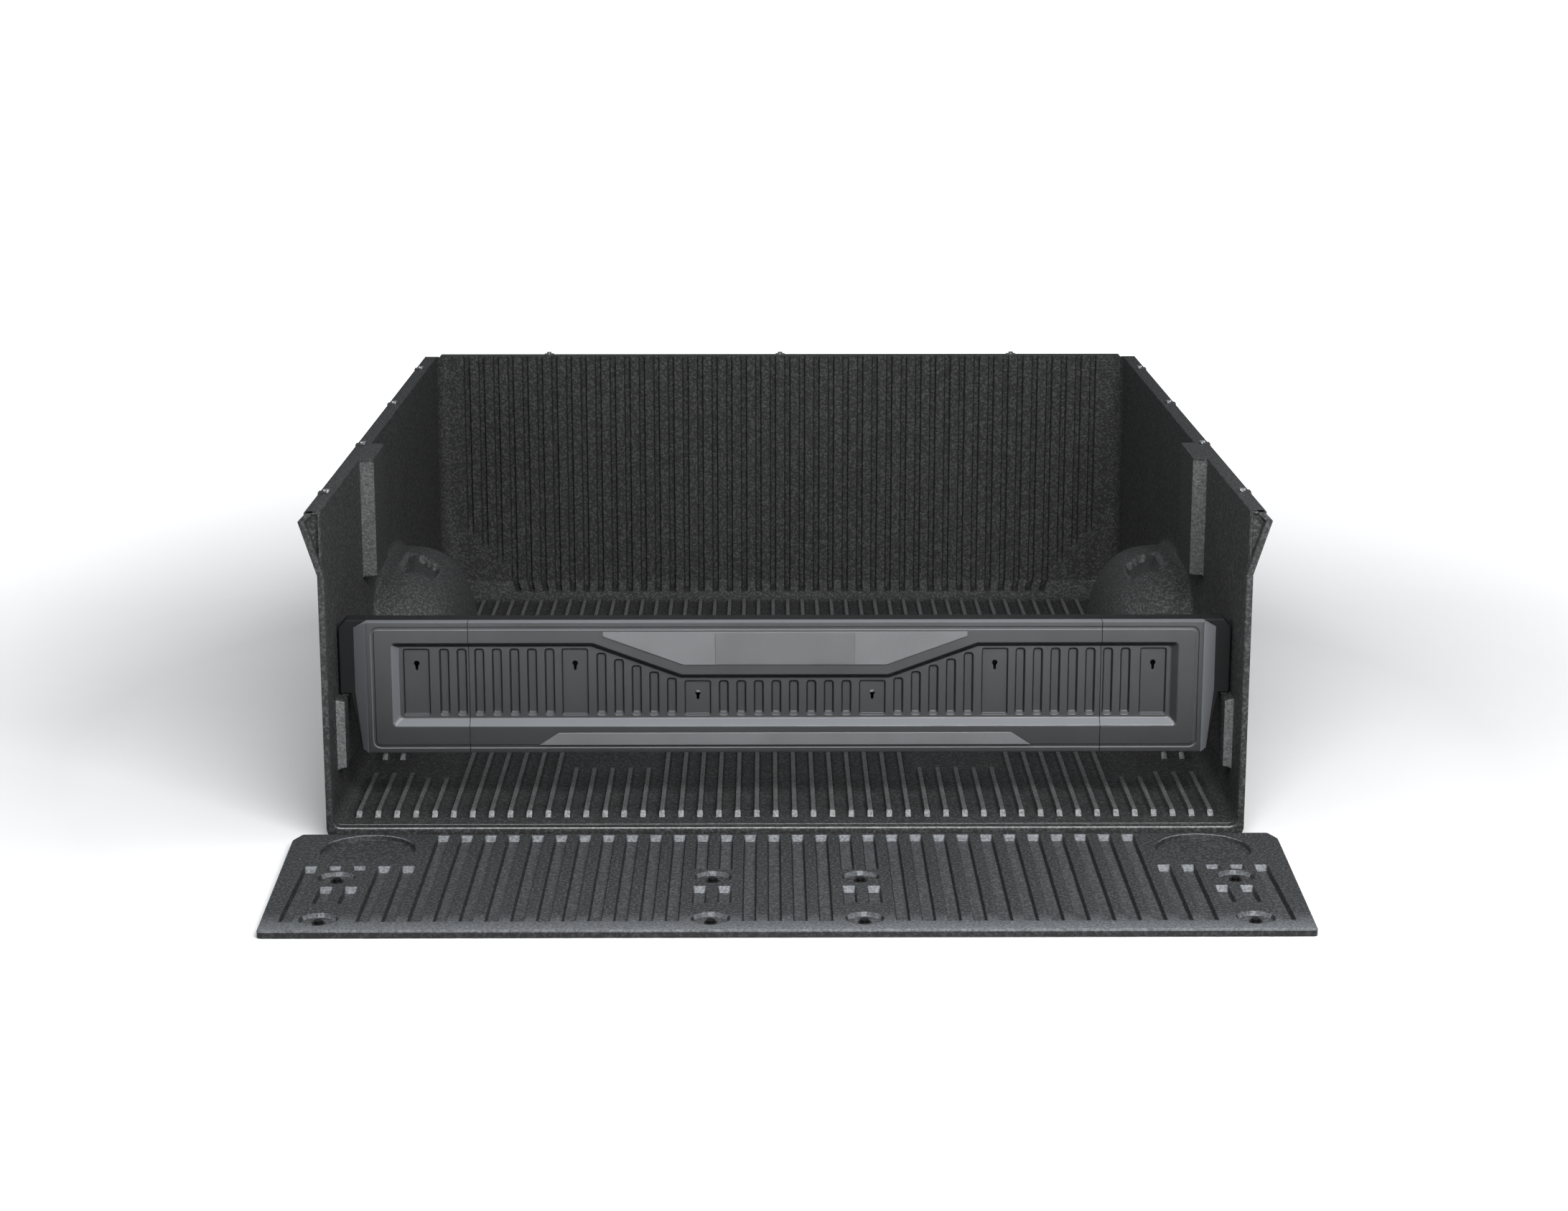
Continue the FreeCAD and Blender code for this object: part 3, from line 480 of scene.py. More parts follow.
def clear_distance(p):
    """Roughly how far inside the tub a point is: zero on its formed surface."""
    x, y, z = np.abs(p[:, 0]), p[:, 1], p[:, 2]
    wall = HALF_WIDTH - x
    front = FLOOR_LENGTH - y
    floor = z - SHEET
    corner = np.interp(z, CORNER_HEIGHTS, CORNER_RADII)
    inside = round_join(wall, front, corner)
    band = (front + floor - BAND) / math.sqrt(2)
    inside = np.minimum(inside, round_join(band, floor, BAND_FILLET))
    inside = np.minimum(inside, band)
    inside = round_join(inside, floor, FOOT_FILLET)
    inside = np.minimum(inside, round_join(wall, floor, WALL_FILLET))
    return round_join(inside, dome_distance(wall, y, z), WELL_FILLET)


def formed(grid):
    """Move points of a plain box onto the formed surface, each towards the tub's inside."""
    base = grid.reshape(-1, 3)
    goal = base.copy()
    goal[:, 0] = np.clip(goal[:, 0], RAY_REACH - HALF_WIDTH, HALF_WIDTH - RAY_REACH)
    goal[:, 1] = np.minimum(goal[:, 1], FLOOR_LENGTH - RAY_REACH)
    goal[:, 2] = np.maximum(goal[:, 2], SHEET + RAY_RISE)
    low = np.zeros(len(base))
    high = np.ones(len(base))
    start = clear_distance(base) >= -1e-6
    for _ in range(HALVINGS):
        middle = (low + high) / 2
        outside = clear_distance(base + (goal - base) * middle[:, None]) < 0
        low = np.where(outside, middle, low)
        high = np.where(outside, high, middle)
    share = np.where(start, 0.0, (low + high) / 2)
    return (base + (goal - base) * share[:, None]).reshape(grid.shape)


def bulge_share(place, limits):
    """How much of a side bulge stands at this place, from 0 outside it to 1 inside."""
    inside = np.minimum(place - limits[0], limits[1] - place)
    return np.clip((inside + BULGE_SOFT) / (BULGE_SOFT * 1.25), 0, 1)


def floor_points(xs, ys):
    base = np.zeros((len(xs), len(ys), 3))
    widen = np.interp(ys, (RIB_STOP, FLOOR_LENGTH), (1.0, GROOVE_WIDEN))
    for i, (x, index, _) in enumerate(xs):
        centre = rib_centre(index) if index is not None else x
        base[i, :, 0] = centre + (x - centre) * widen
        base[i, :, 1] = ys
    base[:, :, 2] = SHEET
    points = formed(base)
    sink_notch(points)
    for i, (_, index, share) in enumerate(xs):
        if index is None:
            continue
        near = min(index, RIBS - 1 - index)
        for j, y in enumerate(ys):
            height = 0.0
            for start, stop in rib_spans(near):
                height = max(height, along_ramp(min(y - start, stop - y)))
            points[i, j, 2] += RIB_HEIGHT * share * height
            cut_groove(points[i, j], share, near)
    return points


def cut_groove(point, share, near):
    """Sink a point of the foot band or bulkhead into its groove."""
    foot = SHORT_GROOVES.get(near, GROOVE_FOOT)
    if near == 0 or point[2] < foot or point[1] < GROOVES_FROM:
        return
    ramp = min((point[2] - foot) / GROOVE_RAMP, 1.0) if near in SHORT_GROOVES else 1.0
    point[1] += (FLOOR_LENGTH + GROOVE_DEPTH - point[1]) * share * ramp


def bulkhead_points(xs, zs):
    base = np.zeros((len(xs), len(zs), 3))
    for i, (x, index, _) in enumerate(xs):
        centre = rib_centre(index) if index is not None else x
        base[i, :, 0] = centre + (x - centre) * GROOVE_WIDEN
    base[:, :, 1] = FLOOR_LENGTH
    base[:, :, 2] = zs
    points = formed(base)
    for i, (_, index, share) in enumerate(xs):
        if index is None:
            continue
        for j in range(len(zs)):
            cut_groove(points[i, j], share, min(index, RIBS - 1 - index))
    return points


def wall_points(side, ys, zs):
    """One side wall's points, with its ledge, its post and half of its wheel well."""
    base = np.zeros((len(ys), len(zs), 3))
    base[:, :, 0] = side * HALF_WIDTH
    base[:, :, 1] = np.array(ys)[:, None]
    base[:, :, 2] = zs
    points = formed(base)
    sink_notch(points)
    for bulge in (LEDGE, POST):
        along = bulge_share(base[:, :, 1], bulge["y"])
        up = bulge_share(base[:, :, 2], bulge["z"])
        stands = HALF_WIDTH - bulge["reach"] * along * up
        points[:, :, 0] = side * np.minimum(np.abs(points[:, :, 0]), stands)
    return points


def with_flange(points, outward, reach):
    """Add a flange that turns outwards at the top of a wall, as more columns of its grid."""
    top = points[:, -1].copy()
    columns = [points]
    axis = 0 if outward[0] else 1
    edge = reach * (outward[0] or outward[1])
    for share, rise in FLANGE_STEPS:
        column = top.copy()
        column[:, axis] += (edge - column[:, axis]) * share
        column[:, 2] = HEIGHT + rise
        columns.append(column[:, None])
    columns[0][:, -1, 2] = HEIGHT - FLANGE_TURN
    return np.concatenate(columns, axis=1)


def add_grid(shell, points):
    numbers = np.array(shell.add(points.reshape(-1, 3))).reshape(points.shape[:2])
    shell.join(numbers.tolist(), closed=False)


# The rear rim and lip: where its outer and inner edges run, from the left rail down and across.
RIM_OUTER, RIM_INNER = 746.0, 735.0
LIP_HEIGHT = 21.0
FLARE = ((757.0, 541.0), (768.5, 528.0), (740.5, 440.0))
RIM_CORNER = {"outer": 20.0, "inner": 13.0}
RIM_DEPTH = 24.0
RIM_EDGE, RIM_BREAK = 2.5, 0.6
WEB = (18.0, 21.0)
# Across the rim: place along Y, drop of its plain edge, and drop of the lip's two beads.
BEADS = (
    (24.0, 3.0, 4.0), (23.5, 1.2, 1.6), (22.6, 0.3, 0.5), (21.0, 0.0, 0.0), (19.4, 0.0, 0.3),
    (18.2, 0.0, 1.4), (17.4, 0.0, 3.4), (16.6, 0.0, 17.0), (6.6, 0.0, 17.0), (5.9, 0.0, 3.4),
    (5.2, 0.0, 1.4), (4.2, 0.0, 0.3), (2.8, 0.0, 0.0), (1.4, 0.3, 0.5), (0.5, 1.2, 1.6),
    (0.0, 3.0, 4.0),
)


def rim_stations():
    """Outer edge, inner edge and share of the lip's groove, for the left half of the rim."""
    half = (RIM_OUTER - RIM_INNER) / 2
    stations = []
    for x, z in FLARE:
        stations.append(((-x - half, z), (-x + half, z), 0.0))
    top_x, top_z = FLARE[0]
    stations.insert(1, ((-top_x - half, top_z - 1), (-top_x + half, top_z - 3), 0.0))
    for z in (300.0, 150.0, 60.0, 40.0):
        stations.append(((-RIM_OUTER, z), (-RIM_INNER, z), 0.0))
    out, into = RIM_CORNER["outer"], RIM_CORNER["inner"]
    for step in range(9):
        angle = math.pi + math.pi / 2 * step / 8
        turn = np.array((math.cos(angle), math.sin(angle)))
        first = np.array((out - RIM_OUTER, out)) + out * turn
        second = np.array((into - RIM_INNER, LIP_HEIGHT + into)) + into * turn
        stations.append((first, second, max(0.0, (step - 4) / 4)))
    stations.append(((-700.0, 0.0), (-700.0, LIP_HEIGHT), 1.0))
    return stations


def rim_section(width, groove):
    """The rim's cross-section: share of the way from outer to inner edge, and place along Y."""
    inner = [(1 - (plain + (beaded - plain) * groove) / width, y) for y, plain, beaded in BEADS]
    rounding = [(RIM_EDGE, 0.0), (RIM_BREAK, RIM_BREAK), (0.0, RIM_EDGE)]
    outer = [(across / width, y) for across, y in rounding]
    outer += [(across / width, RIM_DEPTH - y) for across, y in reversed(rounding)]
    return inner + outer


def add_rim(shell):
    left = rim_stations()
    right = [((-o[0], o[1]), (-i[0], i[1]), g) for o, i, g in reversed(left)]
    loops = []
    for outer, inner, groove in left + right:
        outer, inner = np.array(outer), np.array(inner)
        loop = []
        for share, y in rim_section(np.linalg.norm(inner - outer), groove):
            x, z = outer + (inner - outer) * share
            loop.append((x, y, z))
        loops.append(shell.add(loop))
    shell.join(loops)
    shell.faces.append(tuple(loops[0]))
    shell.faces.append(tuple(reversed(loops[-1])))


def add_flare_webs(shell):
    """Close the triangles between the flared rim, the walls and the top flange."""
    (top_x, top_z), (wide_x, wide_z), (low_x, low_z) = FLARE
    root = HALF_WIDTH - 1
    outline = [(root, low_z), (low_x, low_z), (wide_x, wide_z), (top_x, top_z), (root, top_z)]
    for side in (-1, 1):
        loops = [shell.add([(side * x, y, z) for x, z in outline]) for y in WEB]
        shell.bridge(*loops)
        shell.faces.append(tuple(loops[0]))
        shell.faces.append(tuple(loops[1]))


def tub_wear_and_painted_light(x, y, z, normal):
    """Painted highlights on the ribs' rear ends, the rear ends of ledges and posts, and the rib crests,
    where it is also rubbed wear; the wheel well's notch gets its own painted light.
    """
    if normal.z > 0.9 and 13.0 < z < 18.0:
        return WEAR_AND_PAINTED_LIGHT["rib_crest"]
    if abs(x) < 710 and z > 240 and y < 850:
        return notch_painted_light(abs(x), y)
    if normal.y > -0.35 or z > HEIGHT - 5:
        return 0.0
    if 7.0 < z < 16 and y < 510:
        return WEAR_AND_PAINTED_LIGHT["rib_end"]
    if abs(y - LEDGE["y"][0]) < 5:
        return WEAR_AND_PAINTED_LIGHT["ledge_end"]
    return WEAR_AND_PAINTED_LIGHT["post_end"] if abs(y - POST["y"][0]) < 5 and z > 300 else 0.0


def notch_painted_light(x, y):
    """Painted highlight along a line by the wheel well's notch; painted shade in its bed."""
    inside = within_notch(x, y)
    if inside > 5.0:
        return WEAR_AND_PAINTED_LIGHT["notch_bed"]
    return WEAR_AND_PAINTED_LIGHT["notch_line"] if -2.0 < inside and y > 712 else 0.0


def rim_painted_light(x, y, z, normal):
    """Painted highlight on the tops of the rear lip's two beads; painted shade on the wall between them."""
    if z > 22 or abs(x) > 738:
        return 0.0
    if 16.0 < y < 18.9:
        return WEAR_AND_PAINTED_LIGHT["bead_wall"]
    return WEAR_AND_PAINTED_LIGHT["bead_top"] if z > 17.5 and normal.z > 0.5 else 0.0


def make_tub():
    xs, ys, zs = x_lines(), y_lines(), z_lines()
    skin = Shell()
    add_grid(skin, floor_points(xs, ys))
    front = bulkhead_points(xs, zs)
    add_grid(skin, with_flange(front, (0, 1), FLOOR_LENGTH + GROOVE_DEPTH + SHEET + FRONT_FLANGE))
    for side in (-1, 1):
        wall = wall_points(side, ys, zs)
        add_grid(skin, with_flange(wall, (side, 0), HALF_WIDTH + SHEET + SIDE_FLANGE))
    tub = make_piece("bed_tub_skin", skin, "tub", "liner_plastic", ["bed_tub"], weld=0.3)
    mark_wear_and_painted_light(thicken(tub, DRAWN_SHEET), tub_wear_and_painted_light)
    rim = Shell()
    add_rim(rim)
    add_flare_webs(rim)
    rear = make_piece("rear_rim", rim, "tub", "liner_plastic", None, smooth=50)
    return [tub, mark_wear_and_painted_light(rear, rim_painted_light)]


# ---------------------------------------------------------------- tailgate liner

GATE_TOP = 13.0
GATE_OUTLINE = (
    (-781.0, -467.0), (781.0, -467.0), (796.0, -35.0), (784.0, -5.0), (-784.0, -5.0), (-796.0, -35.0),
)
GATE_RADII = (6.0, 6.0, 20.0, 6.0, 6.0, 20.0)
# The liner's rounded outer edge, from its top down: inset and height.
GATE_EDGE = (
    (3.2, 13.0), (2.0, 12.7), (0.9, 11.9), (0.2, 10.6), (0.0, 9.0), (0.0, 1.5), (0.6, 0.3), (1.6, 0.0),
)
CHANNELS = 40
CHANNEL_PITCH = 38.2
# A channel: half its mouth, its depth, the lean of its sides, and its far end's slope as a
# greatest length and a share of the channel's length.
CHANNEL = {"half_mouth": 10.5, "depth": 10.0, "lean": 2.0, "slope": 10.0, "slope_share": 0.3}
SCREW_X, SCREW_Y = (114.6, 697.0), (-225.0, -417.0)
RECESS_RADIUS, RECESS_DEPTH, RECESS_LEAN = 29.5, 7.0, 3.0
BIG_RECESS = {"x": 667.0, "y": -88.0, "radius": 76.0}


def channel_runs(index):
    """Stretches along Y of the channels with this number, counted from the middle."""
    if index in (2, 3):
        return [(-189.0, -12.0), (-348.0, -267.0)]
    if index < 15:
        return [(-430.0, -12.0)]
    if index in (17, 18):
        return [(-191.0, -168.0), (-348.0, -267.0)]
    return [(-430.0, -168.0)]


def sunk(shell, contour, depth, run, soft, place):
    """Walls of a formed hollow; contour(inset) is its outline. Gives its top and foot loops."""
    loops = []
    for drop in drops(depth, soft):
        outline = contour(inset_at(drop, depth, run, soft))
        loops.append(shell.add([place(p, drop) for p in outline]))
    shell.join(loops)
    return loops[0], loops[-1]


def flat_xy(point):
    return point[0], point[1]


def on_gate(point, drop):
    return point[0], point[1], GATE_TOP - drop


def add_channel(shell, x, run):
    """A channel in the tailgate liner, its far end sloped. Gives its mouth's loop."""
    half, depth, lean = CHANNEL["half_mouth"], CHANNEL["depth"], CHANNEL["lean"]
    near, far = run
    slope = min(CHANNEL["slope"], (far - near) * CHANNEL["slope_share"])

    def contour(inset):
        across = (x - half + inset, x + half - inset)
        along = (near + inset, far - inset / lean * slope)
        return rounded(rectangle(across, along), 2.0, 0.0, steps=3)

    mouth, bed = sunk(shell, contour, depth, lean, 0.7, on_gate)
    shell.fill(bed, [], flat_xy)
    return mouth


def add_round_recess(shell, x, y, radius, soft):
    mouth, bed = sunk(
        shell, lambda inset: circle((x, y), radius, inset), RECESS_DEPTH, RECESS_LEAN, soft, on_gate
    )
    shell.fill(bed, [], flat_xy)
    return mouth


def gate_painted_light(x, y, z, normal):
    """Painted highlights on the channels' beds, their sloped far ends, the recesses' far sides and the big
    recesses' top edges; painted shade on the near lip, the channels' sides and the big recesses' walls.
    """
    if y < -465 and z < 9.5:
        return WEAR_AND_PAINTED_LIGHT["gate_lip"]
    # Painted light on the channel beds, paler towards their far ends.
    if z < 3.2 and normal.z > 0.9:
        return 0.05 + 0.07 * (y + 430) / 400
    if z < 12.4 and abs(normal.x) > 0.8:
        return WEAR_AND_PAINTED_LIGHT["channel_side"]
    if abs(x) > 580 and -166 < y < -8 and z > 6.2 and normal.y < -0.3:
        return WEAR_AND_PAINTED_LIGHT["big_recess_edge"] if z > 11.6 else WEAR_AND_PAINTED_LIGHT["big_recess_side"]
    if normal.y > -0.3 or y < -455 or z > 12.4 or z < 3.2:
        return 0.0
    return WEAR_AND_PAINTED_LIGHT["recess_side"] if abs(normal.x) > 0.12 else WEAR_AND_PAINTED_LIGHT["channel_end"]


def make_tailgate_liner():
    shell = Shell()
    holes = []
    for side in (-1, 1):
        for index in range(CHANNELS // 2):
            for run in channel_runs(index):
                holes.append(add_channel(shell, side * (index + 0.5) * CHANNEL_PITCH, run))
        for x in SCREW_X:
            for y in SCREW_Y:
                holes.append(add_round_recess(shell, side * x, y, RECESS_RADIUS, 0.8))
        big = BIG_RECESS
        holes.append(add_round_recess(shell, side * big["x"], big["y"], big["radius"], 1.2))
    rings = []
    for inset, z in GATE_EDGE:
        outline = rounded(GATE_OUTLINE, GATE_RADII, inset, steps=6)
        rings.append(shell.add([(x, y, z) for x, y in outline]))
    shell.join(rings)
    shell.fill(rings[0], holes, flat_xy)
    shell.fill(rings[-1], [], flat_xy)
    liner = make_piece("tailgate_liner_skin", shell, "tailgate", "gate_plastic", ["tailgate_liner"])
    return [even_normals(mark_wear_and_painted_light(liner, gate_painted_light))]


# ---------------------------------------------------------------- divider face

FACE_FRONT, FACE_BACK, BEVEL_BACK = 125.0, 145.0, 150.0
FACE_BOTTOM, FACE_TOP, FACE_HALF = 112.0, 334.0, 690.0
SEAM = 522.0
PANEL = ((-676.0, 126.0), (676.0, 126.0), (676.0, 320.0), (-676.0, 320.0))
# The groove round the panel: place across it, and depth.
PANEL_GROOVE = (
    (0.0, 0.0), (0.4, 0.15), (1.1, 1.5), (1.8, 2.0), (5.2, 2.0), (5.9, 1.5), (6.6, 0.15), (7.0, 0.0),
)
RECESS_TOP_EDGE = (
    (-648.6, 157.4), (648.6, 157.4), (648.6, 298.7), (317.0, 298.7),
    (170.7, 245.0), (-170.7, 245.0), (-317.0, 298.7), (-648.6, 298.7),
)
RECESS_FLOOR_EDGE = (
    (-638.0, 168.0), (638.0, 168.0), (638.0, 291.6), (319.5, 291.6),
    (172.5, 238.0), (-172.5, 238.0), (-319.5, 291.6), (-638.0, 291.6),
)
RECESS_DROP, RECESS_RUN = 12.0, 8.0
SLOT_FOOT, SLOT_HEAD, LOW_HEAD = 173.0, 286.5, 232.0
SLOT_PITCH, SLOT_WIDTH, SLOT_DROP = 29.0, 16.0, 7.0
POCKET_WIDTH, POCKET_DROP = 43.5, 6.0
KEYHOLE_DROP = {609.0: 26.0, 347.1: 26.0, 144.5: 22.0}


def flat_xz(point):
    return point[0], point[2]


def on_face(level):
    """Places at a depth of level behind the divider's front, and drop further in."""
    return lambda point, drop: (point[0], FACE_FRONT + level + drop, point[1])


def slots():
    """Every upright slot on the divider's face, as its middle X and the Z of its head."""
    found = []
    for side in (-1, 1):
        found += [(side * (389.0 + SLOT_PITCH * i), SLOT_HEAD) for i in range(7)]
        found += [(side * (187.5 + SLOT_PITCH * i), 236.3 + 10.65 * i) for i in range(5)]
        found += [(side * SLOT_PITCH * (i + 0.5), LOW_HEAD) for i in range(4)]
    return found


def keyhole(x, z, inset=0.0):
    """Outline of a keyhole: a round eye over a narrow tail."""
    eye, tail, length = 4.5 - inset, 2.25 - inset, 12.0
    points = []
    for step in range(25):
        angle = math.radians(-60 + 300 * step / 24)
        points.append((x + eye * math.cos(angle), z + eye * math.sin(angle)))
    for step in range(9):
        angle = math.pi + math.pi * step / 8
        points.append((x + tail * math.cos(angle), z - length + tail + tail * math.sin(angle)))
    return points


def add_pocket(shell, x, head):
    """A shallow pocket in the recess with a keyhole through it; gives its mouth and the hole."""
    half = POCKET_WIDTH / 2
    corners = rectangle((x - half, x + half), (SLOT_FOOT, head))
    mouth, bed = sunk(
        shell, lambda inset: rounded(corners, 4.0, inset), POCKET_DROP, 1.6, 0.8,
        on_face(RECESS_DROP),
    )
    z = head - KEYHOLE_DROP[abs(x)]
    level = RECESS_DROP + POCKET_DROP
    hole = []
    through = FACE_BACK - FACE_FRONT - level
    for inset, drop in ((-0.5, 0.0), (-0.15, 0.15), (0.0, 0.5), (0.0, through)):
        hole.append(shell.add([on_face(level)(p, drop) for p in keyhole(x, z, inset)]))
    shell.join(hole)
    shell.fill(bed, [hole[0]], flat_xz)
    return mouth, hole[-1]


def add_slot(shell, x, head):
    half = SLOT_WIDTH / 2
    corners = rectangle((x - half, x + half), (SLOT_FOOT, head))

    def contour(inset):
        lifted = [(px, pz + (max(inset, 0) * 1.2 if pz == SLOT_FOOT else 0)) for px, pz in corners]
        return rounded(lifted, 5.0, inset)

    mouth, bed = sunk(shell, contour, SLOT_DROP, 2.0, 0.9, on_face(RECESS_DROP))
    shell.fill(bed, [], flat_xz)
    return mouth


def add_panel_groove(shell):
    """The shallow groove round the divider's panel; gives its outer and inner loops."""
    loops = []
    width = PANEL_GROOVE[-1][0]
    for across, drop in PANEL_GROOVE:
        outline = rounded(PANEL, 6.0, across - width)
        loops.append(shell.add([on_face(0)(p, drop) for p in outline]))
    shell.join(loops)
    return loops[0], loops[-1]


def add_recess(shell):
    """The long stepped recess with its slots and pockets; gives its mouth and the keyholes."""
    outer, floor = np.array(RECESS_TOP_EDGE), np.array(RECESS_FLOOR_EDGE)

    def contour(inset):
        return rounded(outer + (floor - outer) * inset / RECESS_RUN, 7.0, 0.0, steps=5)

    mouth, bed = sunk(shell, contour, RECESS_DROP, RECESS_RUN, 1.5, on_face(0))
    holes, keyholes = [], []
    for x, head in slots():
        holes.append(add_slot(shell, x, head))
    for x in KEYHOLE_DROP:
        for side in (-1, 1):
            head = LOW_HEAD if x < 200 else SLOT_HEAD
            pocket, hole = add_pocket(shell, side * x, head)
            holes.append(pocket)
            keyholes.append(hole)
    shell.fill(bed, holes, flat_xz)
    return mouth, keyholes


def face_ring(half, top, end, y_end, y_mid, grow=0.0):
    """One loop round the divider's face: its long edges at y_mid and its two ends at y_end."""
    bottom_half, knee_half, top_half, end_top = end
    low = FACE_BOTTOM - grow
    right = [
        (half, y_mid, low), (bottom_half, y_end, low), (knee_half, y_end, 211.0),
        (top_half, y_end, end_top), (half, y_mid, top),
    ]
    left = [(-x, y, z) for x, y, z in reversed(right)]
    return right + left


def face_shell():
    """The whole divider face, closed: front with its hollows, bevelled ends, and back."""
    shell = Shell()
    groove_out, groove_in = add_panel_groove(shell)
    mouth, keyholes = add_recess(shell)
    soft = 1.2
    front, top = FACE_FRONT, FACE_TOP
    rings = [
        face_ring(688.0, top - soft, (688.6, 688.6, 688.6, top - soft), front, front, -soft),
        face_ring(
            689.0, top - 0.35, (690.0, 690.0, 690.0, top - 0.8), front + 0.5, front + 0.35, -0.35
        ),
        face_ring(689.5, top, (691.2, 691.2, 691.2, top - 1.2), front + 1.3, front + soft),
        face_ring(690.0, top, (702.6, 712.4, 712.4, 320.4), BEVEL_BACK - 0.7, FACE_BACK - 2),
        face_ring(690.0, top, (702.9, 712.9, 712.9, 320.0), BEVEL_BACK, FACE_BACK),
    ]
    loops = [shell.add(ring) for ring in rings]
    shell.join(loops)
    shell.fill(loops[0], [groove_out], flat_xz)
    shell.fill(groove_in, [mouth], flat_xz)
    shell.fill(loops[-1], keyholes, flat_xz)
    return shell


def keep_between(piece, low, high):
    """Cut a closed piece down to the stretch of X between low and high, and close the cuts."""
    work = bmesh.new()
    work.from_mesh(piece.data)
    for limit, sign in ((low, -1), (high, 1)):
        if abs(limit) > FACE_HALF:
            continue
        everything = work.verts[:] + work.edges[:] + work.faces[:]
        result = bmesh.ops.bisect_plane(
            work, geom=everything, plane_co=(limit * MM, 0, 0), plane_no=(sign, 0, 0),
            clear_outer=True, dist=1e-6,
        )
        rim = [part for part in result["geom_cut"] if isinstance(part, bmesh.types.BMEdge)]
        bmesh.ops.triangle_fill(work, use_beauty=True, edges=rim, normal=(sign, 0, 0))
    bmesh.ops.recalc_face_normals(work, faces=work.faces)
    work.to_mesh(piece.data)
    work.free()


def face_painted_light(x, y, z, normal):
    """Painted highlights on the facets at both ends and on slopes that look up; painted shade on the
    hollows' other walls.
    """
    if y < FACE_FRONT + 0.5:
        return 0.0
    if abs(x) > FACE_HALF and normal.y < -0.3:
        return WEAR_AND_PAINTED_LIGHT["facet"]
    in_recess = y < FACE_FRONT + RECESS_DROP
    if normal.z > 0.35:
        return WEAR_AND_PAINTED_LIGHT["recess_foot"] if in_recess else WEAR_AND_PAINTED_LIGHT["slot_foot"]
    if normal.z < -0.35:
        return WEAR_AND_PAINTED_LIGHT["recess_head"]
    if in_recess:
        return WEAR_AND_PAINTED_LIGHT["recess_end"] * math.copysign(1.0, normal.x) if abs(normal.x) > 0.35 else 0.0
    return WEAR_AND_PAINTED_LIGHT["slot_side"] if abs(normal.x) > 0.5 else 0.0


def make_faces():
    gap, past_end = 0.5, 800.0
    sections = {
        "left": (-past_end, -SEAM - gap),
        "center": (-SEAM + gap, SEAM - gap),
        "right": (SEAM + gap, past_end),
    }
    pieces = []
    for name, (low, high) in sections.items():
        node_name = f"divider_face_{name}"
        section = make_piece(
            f"{node_name}_skin", face_shell(), "divider", "divider_plastic", [node_name]
        )
        keep_between(section, low, high)
        section.data.set_sharp_from_angle(angle=math.radians(35))
        pieces.append(even_normals(mark_wear_and_painted_light(section, face_painted_light)))
    return pieces


# ---------------------------------------------------------------- materials


class Look:
    """A material's nodes, with short ways to add and join them."""

    def __init__(self, name, roughness=0.5, metallic=0.0):
        self.material = bpy.data.materials.new(name)
        self.material.use_nodes = True
        self.tree = self.material.node_tree
        self.shader = self.tree.nodes["Principled BSDF"]
        self.shader.inputs["Roughness"].default_value = roughness
        self.shader.inputs["Metallic"].default_value = metallic
        self.place = self.add("TexCoord", {}).outputs["Object"]

    def add(self, kind, inputs, **settings):
        """A new node with these settings; each input gets a value, or a link from a socket."""
        node = self.tree.nodes.new("ShaderNode" + kind)
        for name, value in settings.items():
            setattr(node, name, value)
        for name, value in inputs.items():
            if isinstance(value, bpy.types.NodeSocket):
                self.tree.links.new(value, node.inputs[name])
            else:
                node.inputs[name].default_value = value
        return node

    def noise(self, size, detail=2.0, place=None):
        """Noise whose features are about size millimetres across."""
        inputs = {"Vector": place or self.place, "Scale": 1 / (size * MM), "Detail": detail}
        return self.add("TexNoise", inputs).outputs["Fac"]

    def cells(self, size):
        """Rounded pebbles about size millimetres across."""
        inputs = {"Vector": self.place, "Scale": 1 / (size * MM), "Smoothness": 0.35}
        return self.add("TexVoronoi", inputs, feature="SMOOTH_F1").outputs["Distance"]

    def wear_and_painted_light(self):
        """A face's painted light mark, on rib crests also rubbed wear; zero on a piece that has no marks.
        """
        return self.add("Attribute", {}, attribute_name="wear_and_painted_light").outputs["Fac"]

    def stretch(self, value, low, high, start=0.0, stop=1.0):
        """A value spread from low to high onto start to stop, and held at the ends."""
        inputs = {"Value": value, "From Min": low, "From Max": high, "To Min": start, "To Max": stop}
        return self.add("MapRange", inputs).outputs["Result"]

    def blend(self, factor, first, second):
        """A colour between two colours, or colour sockets."""
        return self.add("Mix", {0: factor, 6: first, 7: second}, data_type="RGBA").outputs[2]

    def sum(self, first, second, operation="ADD"):
        return self.add("Math", {0: first, 1: second}, operation=operation).outputs[0]

    def link(self, **sockets):
        """Join sockets to the shader's inputs; an input's spaces are written as underscores."""
        for name, value in sockets.items():
            self.tree.links.new(value, self.shader.inputs[name.replace("_", " ")])

    def bump(self, height, depth, strength):
        """Raise the surface by height times depth millimetres."""
        inputs = {"Height": height, "Distance": depth * MM, "Strength": strength}
        self.link(Normal=self.add("Bump", inputs).outputs["Normal"])


def grey(level, tint=0.0):
    """A linear grey; tint leans it to blue."""
    return (level * (1 - tint), level, level * (1 + 1.4 * tint), 1.0)


# How many times lighter than its speckle a pebbled face is under a full painted highlight, on rib crests
# # also rubbed wear.
WEAR_AND_HIGHLIGHT_GAIN = 3.7


